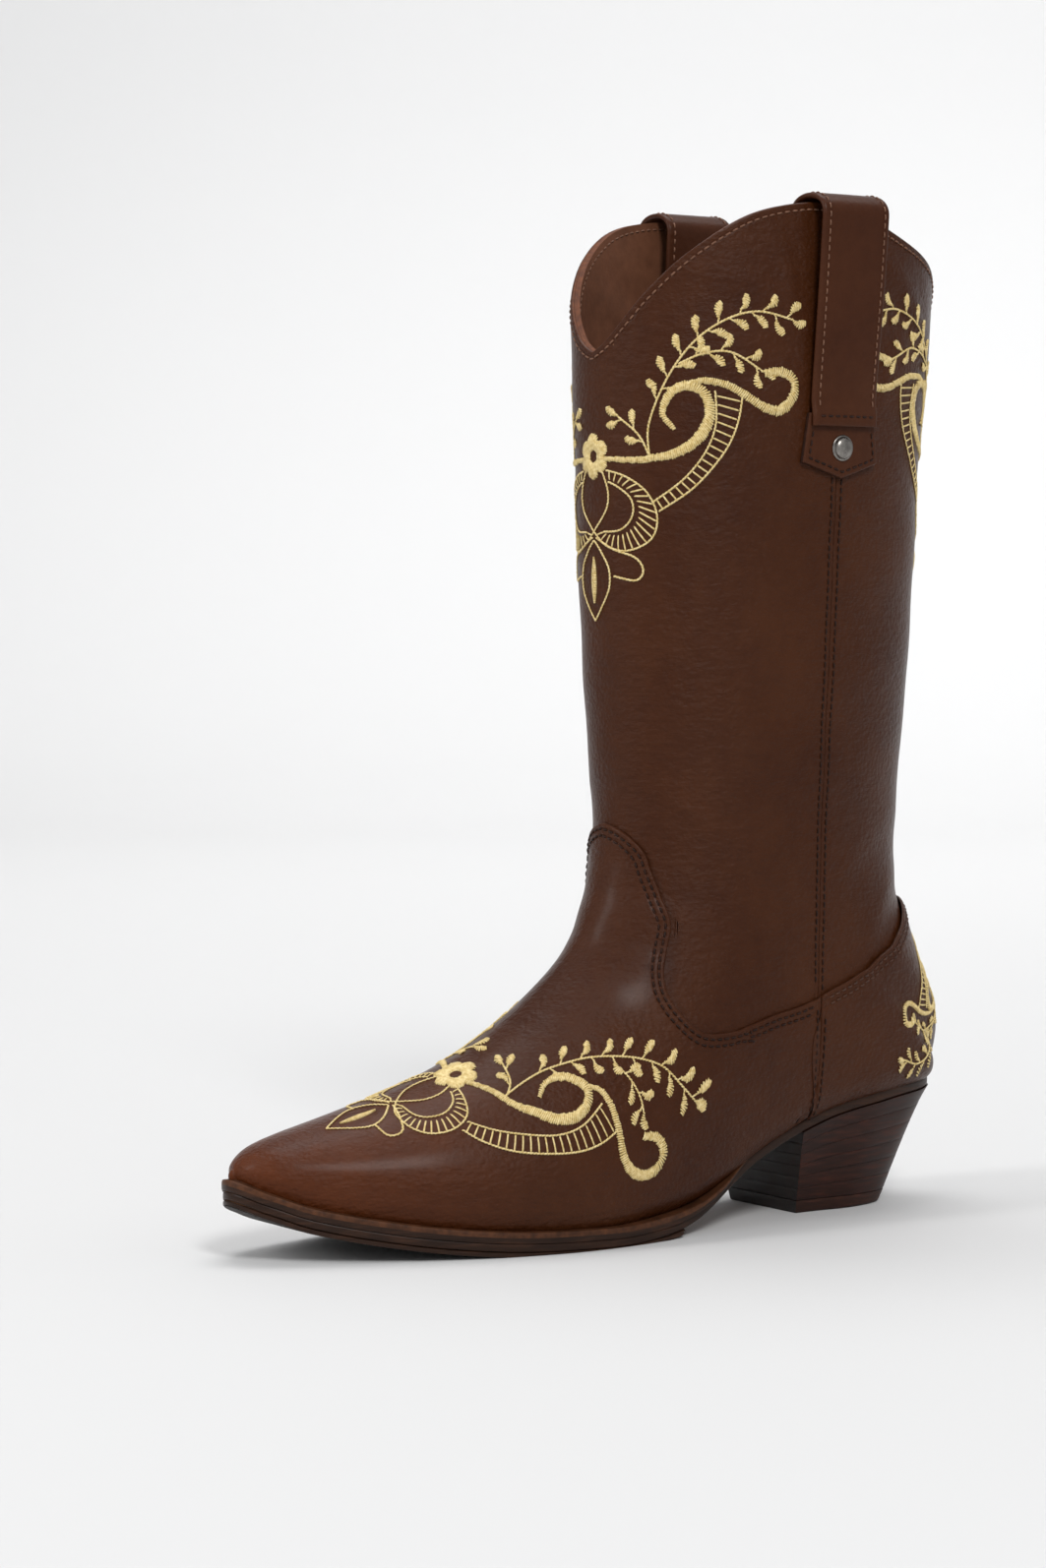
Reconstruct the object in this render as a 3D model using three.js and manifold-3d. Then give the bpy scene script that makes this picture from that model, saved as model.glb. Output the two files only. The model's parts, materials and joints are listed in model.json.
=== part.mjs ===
// A western boot for the left foot, in millimetres: toe towards -Y, outer (lateral) side towards +X, +Z up.
// One smooth form carries the whole upper. Every leather layer is a shell at its own depth from that form,
// and the bottom pieces follow the edge where the form meets the sole.
import * as THREE from 'three';
import { mergeVertices } from 'three/addons/utils/BufferGeometryUtils.js';
import Module from 'manifold-3d';

const wasm = await Module();
wasm.setup();

// ---------------------------------------------------------------- driving dimensions

// Rings of the form, from the toe to the topline. A ring runs from a point on the front line to a point on
// the bottom or back line: front y, front z, back y, back z, half width, half width at the sole edge,
// place of the widest point between the two, roundness above it, roundness below it, centre x. The half width
// at the sole edge is below zero once that edge has closed round the heel.
const RINGS = [
  [-220.5, 31.5, -220.3, 28.0, 1.2, 0.8, 0.6, 2, 2, -7],
  [-217.5, 34.5, -218, 26.8, 7, 6.2, 0.62, 2, 2, -6.9],
  [-211, 38, -213, 24.8, 12.2, 11.2, 0.64, 2, 2, -6.6],
  [-200, 41.4, -202.5, 20.8, 18.2, 17, 0.66, 1.95, 2, -6],
  [-182, 46, -184.5, 16.6, 26, 24.4, 0.68, 1.9, 2.1, -4.6],
  [-161, 52, -162, 12.8, 34.2, 31.8, 0.7, 1.85, 2.2, -2.6],
  [-140, 59.8, -137, 10.2, 40.2, 37.4, 0.72, 1.75, 2.3, -0.6],
  [-120, 70.5, -111, 9.2, 43, 40.2, 0.73, 1.68, 2.4, 1],
  [-101, 85, -84, 9.2, 42, 38.4, 0.72, 1.62, 2.4, 1.8],
  [-84.5, 101, -55, 14, 39, 33.4, 0.68, 1.62, 2.3, 2],
  [-76, 117, -24, 30.6, 36.6, 28.8, 0.62, 1.7, 2.2, 1.8],
  [-71.5, 133, 8, 42.6, 36, 27.8, 0.55, 1.85, 2.2, 1.2],
  [-70.5, 146, 38, 48.2, 36.6, 28.4, 0.48, 1.95, 2.2, 0.5],
  [-70.5, 157, 63, 50.4, 37.2, 20, 0.43, 2.05, 2.2, 0],
  [-71, 164, 73, 52.6, 37.6, 0, 0.41, 2.1, 2.2, 0],
  [-71.5, 171, 75.5, 66, 37.8, -20, 0.41, 2.1, 2.2, 0],
  [-72, 180, 66, 90, 38.2, -20, 0.43, 2.1, 2.1, 0],
  [-72.8, 192, 57.5, 118, 39, -20, 0.46, 2.1, 2.05, 0],
  [-74, 208, 57, 148, 40.4, -20, 0.49, 2.1, 2.05, 0],
  [-75, 230, 59.8, 188, 42.4, -20, 0.5, 2.1, 2.1, 0],
  [-75.6, 258, 62.5, 230, 44.6, -20, 0.5, 2.1, 2.1, 0],
  [-76.2, 292, 64.4, 276, 46.8, -20, 0.5, 2.1, 2.1, 0],
  [-77.4, 330, 69.8, 326, 48.4, -20, 0.5, 2.1, 2.1, 0],
  [-78.4, 372, 72.5, 372, 49, -20, 0.5, 2.1, 2.1, 0],
];
const HEEL_RING = 14; // the ring where the sole edge closes round the back of the heel

// Outlines drawn on the form as [place across the panel, ring]. Across a front panel 0 is the front line
// and 1 the side seam; across a back panel 0 is the back line and 1 the side seam.
const VAMP_EDGE = [
  [0, 12], [0.125, 11.92], [0.222, 11.79], [0.286, 11.58], [0.33, 11.29], [0.4, 10.97], [0.442, 10.6],
  [0.458, 10.17], [0.472, 9.86], [0.497, 9.71], [0.546, 9.67], [0.6, 9.76], [0.65, 9.96], [0.712, 10.5],
  [0.84, 11.06], [0.912, 11.47], [1, 11.95],
];
const COUNTER_EDGE = [
  [0, 16.9], [0.2, 16.8], [0.35, 16.6], [0.45, 16.35], [0.54, 16.04], [0.663, 15.48], [0.768, 14.7],
  [0.84, 13.6], [0.925, 12.5], [1, 11.95],
];
const FRONT_TOPLINE = [
  [0, 21.62], [0.086, 21.72], [0.18, 21.91], [0.276, 22.13], [0.448, 22.47], [0.657, 22.78], [0.848, 22.9],
  [1, 22.9],
];
const BACK_TOPLINE = [
  [0, 21.72], [0.074, 21.85], [0.147, 22.02], [0.274, 22.28], [0.45, 22.48], [0.726, 22.68], [0.874, 22.8],
  [1, 22.9],
];
const SEAM_JUNCTION = 11.95; // ring where the vamp and counter edges meet on the side seam
const LAP = 10; // how far the shaft runs on under the vamp and the counter

// Depth of each leather layer from the form, outer face first. Negative is towards the foot.
const OVERLAY = { outer: 1.8, inner: 0.5 };
const SHAFT = { outer: 0, inner: -1.4 };
const COUNTER = { outer: 2, inner: 0.9 };
const STIFFENER = { outer: -0.7, inner: -1.5 };
const HEEL_LINING = { outer: -2.8, inner: -3.9 };
const LINING = { outer: -2.3, inner: -3.5 };
const VAMP_LINING = { outer: -0.4, inner: -1.6 }; // in the forepart, where nothing lies between
const GAP = 0.3; // between pieces that meet
const LINING_GAP = 0.8; // between linings that meet along a steep seam

const SEAM_Y = -1; // plane of both side seams
const SEAM_FROM = 9; // rings before this one end in front of that plane
const TOE_PUFF_END = 4.4; // ring where the toe puff stops
const LINING_EDGE = 10.5; // ring where the vamp lining stops on the front line

// Bottom pieces: thickness, and how far each outline stands out from the edge of the upper.
const UPPER_LIP = 2.8; // the edge of the form is this far above the welt
const WELT = {
  thick: 2.2, thinnest: 0.4, out: 4, in: 5, inShare: 0.45, lastRing: 10, skiveFrom: -70, skiveTo: -20,
};
const WELT_TOE = { length: 22, pull: 14 }; // the strip is wider across the toe
const OUTSOLE = { forepart: 3, heel: 4, out: 3.6, waistOut: 1.2, waistFrom: -80, waistTo: -35 };
const HALF_SOLE = { thick: 1.8, end: -63 };
const FILLER = { inset: 3, front: -188 };
const INSOLE = { lift: 4.1, thick: 2.8, inset: 3.4, front: -200, back: 60 };
const SOCK = { thick: 1.2, inset: 3.9 };
const SHANK = { width: 13, thick: 1.5, front: -70, back: 30, lift: 1 };
const SHANK_BOARD = { thick: 2, front: -72, back: 62, inset: 5, lift: 2.8 };

const HEEL = {
  height: 38, breastTop: -3, breastBottom: 2, backOut: 1.6, narrow: 0.67, backBottom: 52, lean: 0.85, lifts: 6,
};
const TOP_PIECE = 5;
const NAIL = { radius: 1.1, head: 2.2, headThick: 0.8, lift: 0.7, clear: 0.25, long: 26, taper: 3 };
const NAIL_HOLE = { top: 60, bottom: 8 };
const NAIL_PLACES = [[0, 50], [-13, 38], [13, 38], [-15, 14], [15, 14]];

// Pull straps: loops over the topline, sewn down at a stitch line on both faces of the shaft.
const STRAP = {
  width: 30, thick: 2.2, centre: -0.5, stitch: 292, bend: 364, near: 1, far: 5.8, farInside: 7.2, crown: 5.4,
};
const TAB = { width: 32, thick: 2.1, shoulder: 275.5, point: 270, innerEnd: 273, gap: 0.5 };
const RIVET = { z: 281, cap: 4.6, dome: 2.6, post: 1.3, hole: 1.6, burr: 3.4, burrThick: 1.1 };

const MATERIALS = {
  leather: { color: 0x4a2818, roughness: 0.42, metalness: 0 },
  lining: { color: 0x54301f, roughness: 0.6, metalness: 0 },
  sole: { color: 0x2e1c14, roughness: 0.5, metalness: 0 },
  heel: { color: 0x38231a, roughness: 0.45, metalness: 0 },
  rubber: { color: 0x1c1714, roughness: 0.8, metalness: 0 },
  board: { color: 0x9a7a55, roughness: 0.9, metalness: 0 },
  cork: { color: 0xa67c4e, roughness: 0.95, metalness: 0 },
  steel: { color: 0x9a9a9a, roughness: 0.35, metalness: 1 },
  gunmetal: { color: 0x55504c, roughness: 0.3, metalness: 1 },
};

// ---------------------------------------------------------------- the form

const smoothStep = (from, to, x) => THREE.MathUtils.smoothstep(x, from, to);
const lerp = THREE.MathUtils.lerp;

// The ring at a place between the given ones, by a Catmull-Rom spline through each of its numbers.
function ringAt(t) {
  const last = RINGS.length - 1;
  const at = THREE.MathUtils.clamp(t, 0, last - 1e-9);
  const i = Math.floor(at);
  const u = at - i;
  const before = (k) => 2 * RINGS[0][k] - RINGS[1][k];
  const after = (k) => 2 * RINGS[last][k] - RINGS[last - 1][k];
  return RINGS[0].map((_, k) => {
    const a = i === 0 ? before(k) : RINGS[i - 1][k];
    const b = RINGS[i][k];
    const c = RINGS[i + 1][k];
    const d = i + 2 > last ? after(k) : RINGS[i + 2][k];
    return 0.5 * (2 * b + (c - a) * u + (2 * a - 5 * b + 4 * c - d) * u * u
      + (3 * b - a - 3 * c + d) * u * u * u);
  });
}

// A point of the form. around is 0 on the front line and 1 or -1 on the sole edge or the back line.
function formPoint(t, around) {
  const [frontY, frontZ, backY, backZ, wide, splineEdge, middle, above, below, centre] = ringAt(t);
  const edge = Math.max(splineEdge, 0);
  const angle = Math.abs(around) * Math.PI;
  const sine = Math.abs(Math.sin(angle));
  const cosine = Math.abs(Math.cos(angle));
  const upper = angle <= Math.PI / 2;
  const across = upper ? wide * sine ** (2 / above) : edge + (wide - edge) * sine ** (2 / below);
  const along = upper ? middle - middle * cosine ** (2 / above)
    : middle + (1 - middle) * cosine ** (2 / below);
  return new THREE.Vector3(
    centre + Math.sign(around) * across,
    lerp(frontY, backY, along),
    lerp(frontZ, backZ, along),
  );
}

// The outward direction of the form at a point.
function formNormal(t, around) {
  const step = 0.01;
  const low = Math.max(around - step, -1);
  const high = Math.min(around + step, 1);
  const alongRing = formPoint(t, high).sub(formPoint(t, low));
  const alongForm = formPoint(Math.min(t + step, RINGS.length - 1), around)
    .sub(formPoint(Math.max(t - step, 0), around));
  return alongRing.cross(alongForm).normalize();
}

const atDepth = (t, around, depth) => formPoint(t, around).addScaledVector(formNormal(t, around), depth);

// How far round the ring the side seam lies, moved back or forward by half the seam's gap.
function seamAround(t, shift) {
  if (t < SEAM_FROM) return 1;
  const [frontY, , backY, , , , middle, above, below] = ringAt(t);
  const along = (SEAM_Y + shift - frontY) / (backY - frontY);
  if (along >= 1) return 1;
  if (along <= middle) return Math.acos(((middle - along) / middle) ** (above / 2)) / Math.PI;
  return 1 - Math.acos(((along - middle) / (1 - middle)) ** (below / 2)) / Math.PI;
}

// Place across a front panel to place round the ring: only the outer columns bend to the seam.
const FRONT_SHARE = 0.535;
function frontAround(across, t) {
  const seam = seamAround(t, -GAP / 2);
  const side = Math.abs(across);
  return Math.sign(across) * (FRONT_SHARE * side + side ** 4 * (seam - FRONT_SHARE));
}
const backAround = (across, t) =>
  (Math.sign(across) || 1) * (1 - Math.abs(across) * (1 - seamAround(t, GAP / 2)));

// A drawn outline as a function of the place across the panel.
function outline(points) {
  const curve = new THREE.SplineCurve(points.map(([x, y]) => new THREE.Vector2(x, y))).getPoints(160);
  return (across) => {
    const x = Math.min(Math.abs(across), 1);
    const next = Math.max(curve.findIndex((p) => p.x >= x - 1e-9), 1);
    const a = curve[next - 1];
    const b = curve[next];
    return lerp(a.y, b.y, THREE.MathUtils.clamp((x - a.x) / (b.x - a.x), 0, 1));
  };
}
const vampEdge = outline(VAMP_EDGE);
const counterEdge = outline(COUNTER_EDGE);
const frontTopline = outline(FRONT_TOPLINE);
const backTopline = outline(BACK_TOPLINE);
const frontLiningEdge = (across) => LINING_EDGE + (SEAM_JUNCTION - LINING_EDGE) * across ** 6;

// A distance along the form as a change of ring.
function ringStep(t, around, distance) {
  const step = 0.05;
  return (distance * step) / formPoint(t, around).distanceTo(formPoint(t + step, around));
}

// ---------------------------------------------------------------- solids

function geometryOf(points, triangles) {
  const geometry = new THREE.BufferGeometry();
  geometry.setAttribute('position', new THREE.Float32BufferAttribute(points.flatMap((p) => p.toArray()), 3));
  geometry.setIndex(triangles);
  return geometry;
}

// Triangles of a closed surface, turned so that they face outwards.
function closedGeometry(points, quads) {
  const triangles = [];
  for (const [a, b, c, d] of quads) {
    if (a !== b && b !== c && a !== c) triangles.push([a, b, c]);
    if (a !== c && c !== d && a !== d) triangles.push([a, c, d]);
  }
  const volume = triangles.reduce(
    (sum, [a, b, c]) => sum + points[a].dot(points[b].clone().cross(points[c])), 0);
  if (volume < 0) triangles.forEach((triangle) => triangle.reverse());
  return geometryOf(points, triangles.flat());
}

// A sheet with two faces and walls round its rim. point(i, j, face) gives the place of a grid point, face 0
// or 1. Where the first row is one tip, its points are shared. The two halves are mirror images, so their
// four-cornered facets are split along opposite diagonals.
function sheet(columns, rows, point, tip = false) {
  const points = [];
  const index = [0, 1].map((face) => {
    const grid = [];
    for (let i = 0; i < columns; i += 1) {
      for (let j = 0; j < rows; j += 1) {
        if (tip && j === 0 && i > 0) grid.push(grid[0]);
        else grid.push(points.push(point(i, j, face)) - 1);
      }
    }
    return (i, j) => grid[i * rows + j];
  });
  const [top, under] = index;
  const quads = [];
  for (let i = 0; i + 1 < columns; i += 1) {
    for (let j = 0; j + 1 < rows; j += 1) {
      const corners = [[i, j], [i + 1, j], [i + 1, j + 1], [i, j + 1]];
      if (i < (columns - 1) / 2) corners.push(corners.shift());
      quads.push(corners.map(([p, q]) => top(p, q)));
      quads.push(corners.map(([p, q]) => under(p, q)).reverse());
    }
    quads.push([top(i + 1, 0), top(i, 0), under(i, 0), under(i + 1, 0)]);
    quads.push([top(i, rows - 1), top(i + 1, rows - 1), under(i + 1, rows - 1), under(i, rows - 1)]);
  }
  for (let j = 0; j + 1 < rows; j += 1) {
    quads.push([top(0, j), top(0, j + 1), under(0, j + 1), under(0, j)]);
    const last = columns - 1;
    quads.push([top(last, j + 1), top(last, j), under(last, j), under(last, j + 1)]);
  }
  return closedGeometry(points, quads);
}

function solidOf(geometry) {
  const bare = geometry.clone();
  bare.deleteAttribute('normal');
  bare.deleteAttribute('uv');
  const merged = mergeVertices(bare, 1e-4);
  return new wasm.Manifold(new wasm.Mesh({
    numProp: 3,
    vertProperties: merged.attributes.position.array,
    triVerts: new Uint32Array(merged.index.array),
  }));
}

// A geometry with others cut out of it.
function cut(geometry, cutters) {
  const rest = cutters.reduce((solid, cutter) => solid.subtract(solidOf(cutter)), solidOf(geometry));
  const mesh = rest.getMesh();
  const result = new THREE.BufferGeometry();
  result.setAttribute('position', new THREE.BufferAttribute(new Float32Array(mesh.vertProperties), 3));
  result.setIndex(new THREE.BufferAttribute(new Uint32Array(mesh.triVerts), 1));
  return result;
}

const boot = new THREE.Group();
function addPiece(name, material, geometry, parent = boot) {
  geometry.computeVertexNormals();
  const piece = new THREE.Mesh(geometry, new THREE.MeshStandardMaterial(MATERIALS[material]));
  piece.name = name;
  parent.add(piece);
  return piece;
}

// Both signs of a list of places, in order from -1 to 1.
const mirrored = (places) => [...places.slice(1).map((x) => -x).reverse(), ...places];

// ---------------------------------------------------------------- the upper

const VAMP_COLUMNS = mirrored([
  0, 0.12, 0.22, 0.3, 0.37, 0.42, 0.452, 0.475, 0.53, 0.6, 0.68, 0.76, 0.83, 0.89, 0.935, 0.968, 1,
]);
const SHAFT_COLUMNS = VAMP_COLUMNS.filter((x) => ![0.935, 0.968].includes(Math.abs(x)));
const BACK_COLUMNS = mirrored([0, 0.09, 0.18, 0.28, 0.38, 0.48, 0.58, 0.68, 0.78, 0.86, 0.93, 1]);

// Rows of a panel lie closer together where the form bends most: near both ends of the foot, and at the
// foot of the shaft.
const footRows = (s) => 0.5 * s + 0.25 * (1 - Math.cos(Math.PI * s));
const shaftRows = (s) => s ** 1.4;
const heelRows = (s) => s ** 1.5;

// A shell over part of the form. from and to give the first and last ring for a place across the panel.
function panel({ columns, rows, around, from, to, depth, tip, ease }) {
  return sheet(columns.length, rows + 1, (i, j, face) => {
    const across = columns[i];
    if (tip && j === 0) return tip[face].clone();
    const t = lerp(from(across, face), to(across), ease(j / rows));
    return atDepth(t, around(across, t), depth(t, face));
  }, Boolean(tip));
}

const layer = ({ outer, inner }) => (t, face) => (face === 0 ? outer : inner);

// The tip of a toe-shaped shell for each face: low on its first ring, and a little ahead of it.
function toeTip(starts, depths) {
  return starts.map((t, face) => {
    const middle = formPoint(t, 0.5).add(formPoint(t, -0.5)).multiplyScalar(0.5);
    const outward = Math.max(depths[face], 0);
    const inward = Math.min(depths[face], 0);
    const low = formPoint(t, 1).z - 0.45 * outward - inward;
    const ahead = formPoint(t, 0).y - outward - 0.6 - 0.8 * inward;
    return new THREE.Vector3(middle.x, ahead, low);
  });
}

function toeShell({ starts, depths, depth, ...rest }) {
  return panel({
    around: frontAround,
    ease: footRows,
    from: (across, face) => starts[face],
    depth,
    tip: toeTip(starts, depths),
    ...rest,
  });
}

addPiece('vamp', 'leather', toeShell({
  columns: VAMP_COLUMNS,
  rows: 14,
  starts: [0.25, 0.25],
  depths: [OVERLAY.outer, OVERLAY.inner],
  depth: layer(OVERLAY),
  to: vampEdge,
}));

addPiece('toe_puff', 'board', toeShell({
  columns: VAMP_COLUMNS,
  rows: 5,
  starts: [0.35, 0.9],
  depths: [SHAFT.outer, SHAFT.inner],
  depth: layer(SHAFT),
  to: () => TOE_PUFF_END,
}));

// The vamp lining lies on the vamp in the forepart, and deeper where the puff or the shaft is between them.
function vampLiningDepth(t, face) {
  const forepart = smoothStep(TOE_PUFF_END, TOE_PUFF_END + 1, t) * (1 - smoothStep(7.2, 8.2, t));
  return lerp(layer(LINING)(t, face), layer(VAMP_LINING)(t, face), forepart);
}
addPiece('vamp_lining', 'lining', toeShell({
  columns: VAMP_COLUMNS,
  rows: 13,
  starts: [1.1, 1.6],
  depths: [LINING.outer, LINING.inner],
  depth: vampLiningDepth,
  to: (across) => frontLiningEdge(across) - ringStep(frontLiningEdge(across), 0, GAP / 2),
}));

const underVamp = (across) => {
  const edge = vampEdge(across);
  return edge - ringStep(edge, frontAround(across, edge), LAP);
};
const underCounter = (across) => {
  const edge = counterEdge(across);
  return edge - ringStep(edge, backAround(across, edge), LAP);
};

const shaftPanels = {
  shaft_front: panel({
    columns: SHAFT_COLUMNS, rows: 10, around: frontAround, from: underVamp, to: frontTopline,
    depth: layer(SHAFT), ease: shaftRows,
  }),
  shaft_back: panel({
    columns: BACK_COLUMNS, rows: 9, around: backAround, from: underCounter, to: backTopline,
    depth: layer(SHAFT), ease: shaftRows,
  }),
};
const shaftLinings = {
  shaft_lining_front: panel({
    columns: SHAFT_COLUMNS, rows: 9, around: frontAround, to: frontTopline,
    from: (across) => frontLiningEdge(across) + ringStep(frontLiningEdge(across), 0, GAP / 2),
    depth: layer(LINING), ease: shaftRows,
  }),
  shaft_lining_back: panel({
    columns: BACK_COLUMNS, rows: 9, around: backAround, to: backTopline,
    from: (across) => counterEdge(across) + ringStep(counterEdge(across), 0.8, LINING_GAP),
    depth: layer(LINING), ease: shaftRows,
  }),
};

// The ring on the side seam at a place round the ring, by bisection.
function seamRing(around, shift) {
  let low = 10;
  let high = SEAM_JUNCTION + 1;
  for (let k = 0; k < 40; k += 1) {
    const t = (low + high) / 2;
    if (seamAround(t, shift) > around) low = t;
    else high = t;
  }
  return low;
}

// A shell round the heel, from the sole edge up. Its columns run from the sole edge to the counter's edge:
// along the side seam at the sides, and up the back line in the middle. reach is how far across the shell
// goes, and share how far up each column. A smaller shell keeps the same rows: it skips the first ones, and
// counts fewer than all of them.
function heelShell({ rows, skip = 0, of = rows, reach, share, depth }) {
  const firstRing = seamRing(1 - 1e-6, GAP / 2);
  const junctionAround = seamAround(SEAM_JUNCTION, GAP / 2);
  const columns = BACK_COLUMNS.filter((x) => Math.abs(x) <= reach);
  return sheet(columns.length, rows + 1, (i, j, face) => {
    const across = columns[i];
    const side = Math.abs(across);
    const topRing = counterEdge(across);
    const topAround = 1 - side * (1 - seamAround(topRing, GAP / 2));
    const sole = lerp(HEEL_RING, firstRing, side);
    const up = heelRows((j + skip) / of) * share(side);
    const around = lerp(1, topAround, up);
    const seamAlong = seamRing(lerp(1, junctionAround, up), GAP / 2);
    const onSeam = THREE.MathUtils.clamp((seamAlong - firstRing) / (SEAM_JUNCTION - firstRing), 0, 1);
    const rise = lerp(up, onSeam, side ** 3);
    return atDepth(lerp(sole, topRing, rise), (Math.sign(across) || 1) * around, depth(0, face));
  });
}

addPiece('heel_counter', 'leather', heelShell({
  rows: 9, reach: 1, share: () => 1, depth: layer(COUNTER),
}));
addPiece('heel_stiffener', 'board', heelShell({
  rows: 6, skip: 2, of: 9, reach: 0.87, share: (side) => 1 - 0.3 * side ** 3, depth: layer(STIFFENER),
}));
addPiece('heel_lining', 'lining', heelShell({
  rows: 9, reach: 1, share: () => 0.98, depth: layer(HEEL_LINING),
}));

// ---------------------------------------------------------------- the bottom

// The sole edge of the upper in plan, for both sides, and the height of the welt along it.
const EDGE_STEP = 0.25;
function edgeLine(side, out) {
  const points = [];
  for (let t = 0; t <= HEEL_RING + 1e-9; t += EDGE_STEP) {
    const p = formPoint(t, side);
    const along = formPoint(Math.min(t + 0.1, HEEL_RING), side).sub(formPoint(Math.max(t - 0.1, 0), side));
    const outward = new THREE.Vector2(along.y, -along.x).normalize().multiplyScalar(side * out);
    points.push(new THREE.Vector2(p.x + outward.x, p.y + outward.y));
  }
  const first = ringAt(0);
  const last = ringAt(HEEL_RING);
  points.unshift(new THREE.Vector2(first[9], first[2] - 0.3 - out));
  points.push(new THREE.Vector2(last[9], last[2] + out));
  return points;
}

function interpolate(points, y) {
  const next = points.findIndex((p, k) => k > 0 && p.y >= y);
  if (next < 0) return points[points.length - 1].x;
  const a = points[next - 1];
  const b = points[next];
  return lerp(a.x, b.x, THREE.MathUtils.clamp((y - a.y) / Math.max(b.y - a.y, 1e-6), 0, 1));
}

const weltLine = [];
for (let t = 0; t <= HEEL_RING + 1e-9; t += EDGE_STEP) {
  const ring = ringAt(t);
  weltLine.push(new THREE.Vector2(ring[3] - UPPER_LIP, ring[2]));
}
weltLine.unshift(new THREE.Vector2(weltLine[0].x + 3, weltLine[0].y - 6));
const weltTop = (y) => interpolate(weltLine, y);
const weltThickness = (y) => WELT.thick * (1 - smoothStep(WELT.skiveFrom, WELT.skiveTo, y));
const outsoleTop = (y) => weltTop(y) - weltThickness(y) - 1.5 * GAP;
const outsoleThickness = (y) =>
  lerp(OUTSOLE.forepart, OUTSOLE.heel, smoothStep(WELT.skiveFrom, WELT.skiveTo, y));
const outsoleBottom = (y) => outsoleTop(y) - outsoleThickness(y);

// Places along a bottom piece, closer together at a rounded end.
function stations(from, to, count, roundFront, roundBack) {
  return Array.from({ length: count + 1 }, (_, k) => {
    const s = k / count;
    const eased = roundFront && roundBack ? (1 - Math.cos(Math.PI * s)) / 2
      : roundFront ? 1 - Math.cos((Math.PI * s) / 2)
        : roundBack ? Math.sin((Math.PI * s) / 2) : s;
    return lerp(from, to, eased);
  });
}

// A flat piece bent along the foot: edges(y) gives its two sides, and top(y) and under(y) its faces. With a
// pointed end its sides meet there.
function slab({ places, edges, top, under, pointedFront = false }) {
  return sheet(places.length, 2, (i, j, face) => {
    const y = places[i];
    const sides = edges(y);
    const middle = (sides[0] + sides[1]) / 2;
    const x = pointedFront && i === 0 ? middle + (j - 0.5) * 1.2 : sides[j];
    return new THREE.Vector3(x, y, face === 0 ? top(y) : under(y));
  });
}

const edgesAt = (out) => {
  const medial = edgeLine(-1, out);
  const lateral = edgeLine(1, out);
  return (y) => [interpolate(medial, y), interpolate(lateral, y)];
};

const tipY = RINGS[0][2] - 0.3;
const heelBackY = RINGS[HEEL_RING][2];
const forepartEdges = edgesAt(OUTSOLE.out);
const waistEdges = edgesAt(OUTSOLE.waistOut);
const outsoleEdges = (y) => {
  const waist = smoothStep(OUTSOLE.waistFrom, OUTSOLE.waistTo, y);
  return [0, 1].map((k) => lerp(forepartEdges(y)[k], waistEdges(y)[k], waist));
};

// The welt is a strip round the forepart, skived thin at its ends.
function weltGeometry() {
  const lastPoint = WELT.lastRing / EDGE_STEP + 1;
  const [medial, lateral] = [-1, 1].map((side) => edgeLine(side, WELT.out).slice(1, lastPoint));
  const tip = new THREE.Vector2(RINGS[0][9], tipY - WELT.out);
  const outerLine = [...medial.reverse(), tip, ...lateral].filter((_, k) => k % 2 === 0);
  const line = outerLine.map((p) => {
    const [left, right] = edgesAt(0)(Math.max(p.y, tipY + 1));
    const middle = (left + right) / 2;
    const half = (right - left) / 2;
    const inHalf = Math.max(half - Math.min(WELT.in, half * WELT.inShare), WELT.thinnest);
    const pull = WELT_TOE.pull * (1 - smoothStep(tipY - WELT.out, tipY + WELT_TOE.length, p.y));
    const reach = THREE.MathUtils.clamp((p.x - middle) / Math.max(half + WELT.out * 0.7, 1), -1, 1);
    return { outer: p, inner: new THREE.Vector2(middle + reach * inHalf, p.y + pull) };
  });
  return sheet(line.length, 2, (i, j, face) => {
    const p = j === 0 ? line[i].outer : line[i].inner;
    const z = weltTop(p.y);
    return new THREE.Vector3(p.x, p.y, face === 0 ? z : z - Math.max(weltThickness(p.y), WELT.thinnest));
  });
}
addPiece('welt', 'sole', weltGeometry());

function nailGeometry([x, y]) {
  const top = outsoleTop(y) + NAIL.headThick + NAIL.lift;
  const profile = [
    [0, top], [NAIL.head, top], [NAIL.head, top - NAIL.headThick], [NAIL.radius, top - NAIL.headThick],
    [NAIL.radius, top - NAIL.long + NAIL.taper], [0, top - NAIL.long],
  ];
  return turned(profile, 8).translate(x, y, 0);
}

// A turned piece about the Z axis from a profile of [radius, z] that starts and ends on the axis.
function turned(profile, sides) {
  const geometry = new THREE.LatheGeometry(profile.map(([r, z]) => new THREE.Vector2(r, z)), sides);
  geometry.rotateX(Math.PI / 2);
  const bare = geometry.clone();
  bare.deleteAttribute('normal');
  bare.deleteAttribute('uv');
  const merged = mergeVertices(bare, 1e-4);
  const points = [];
  for (let k = 0; k < merged.attributes.position.count; k += 1) {
    points.push(new THREE.Vector3().fromBufferAttribute(merged.attributes.position, k));
  }
  const quads = [];
  for (let k = 0; k < merged.index.count; k += 3) {
    const [a, b, c] = [0, 1, 2].map((n) => merged.index.array[k + n]);
    quads.push([a, b, c, a]);
  }
  return closedGeometry(points, quads);
}

// A round bar along Z, used for holes and flat rings.
const bar = (radius, top, bottom, sides) =>
  turned([[0, top], [radius, top], [radius, bottom], [0, bottom]], sides);
const nailHole = ([x, y]) =>
  bar(NAIL.radius + NAIL.clear, NAIL_HOLE.top, NAIL_HOLE.bottom, 8).translate(x, y, 0);
const nailHoles = NAIL_PLACES.map(nailHole);
NAIL_PLACES.forEach((place, k) => addPiece(`heel_nail_${k + 1}`, 'steel', nailGeometry(place)));

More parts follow.
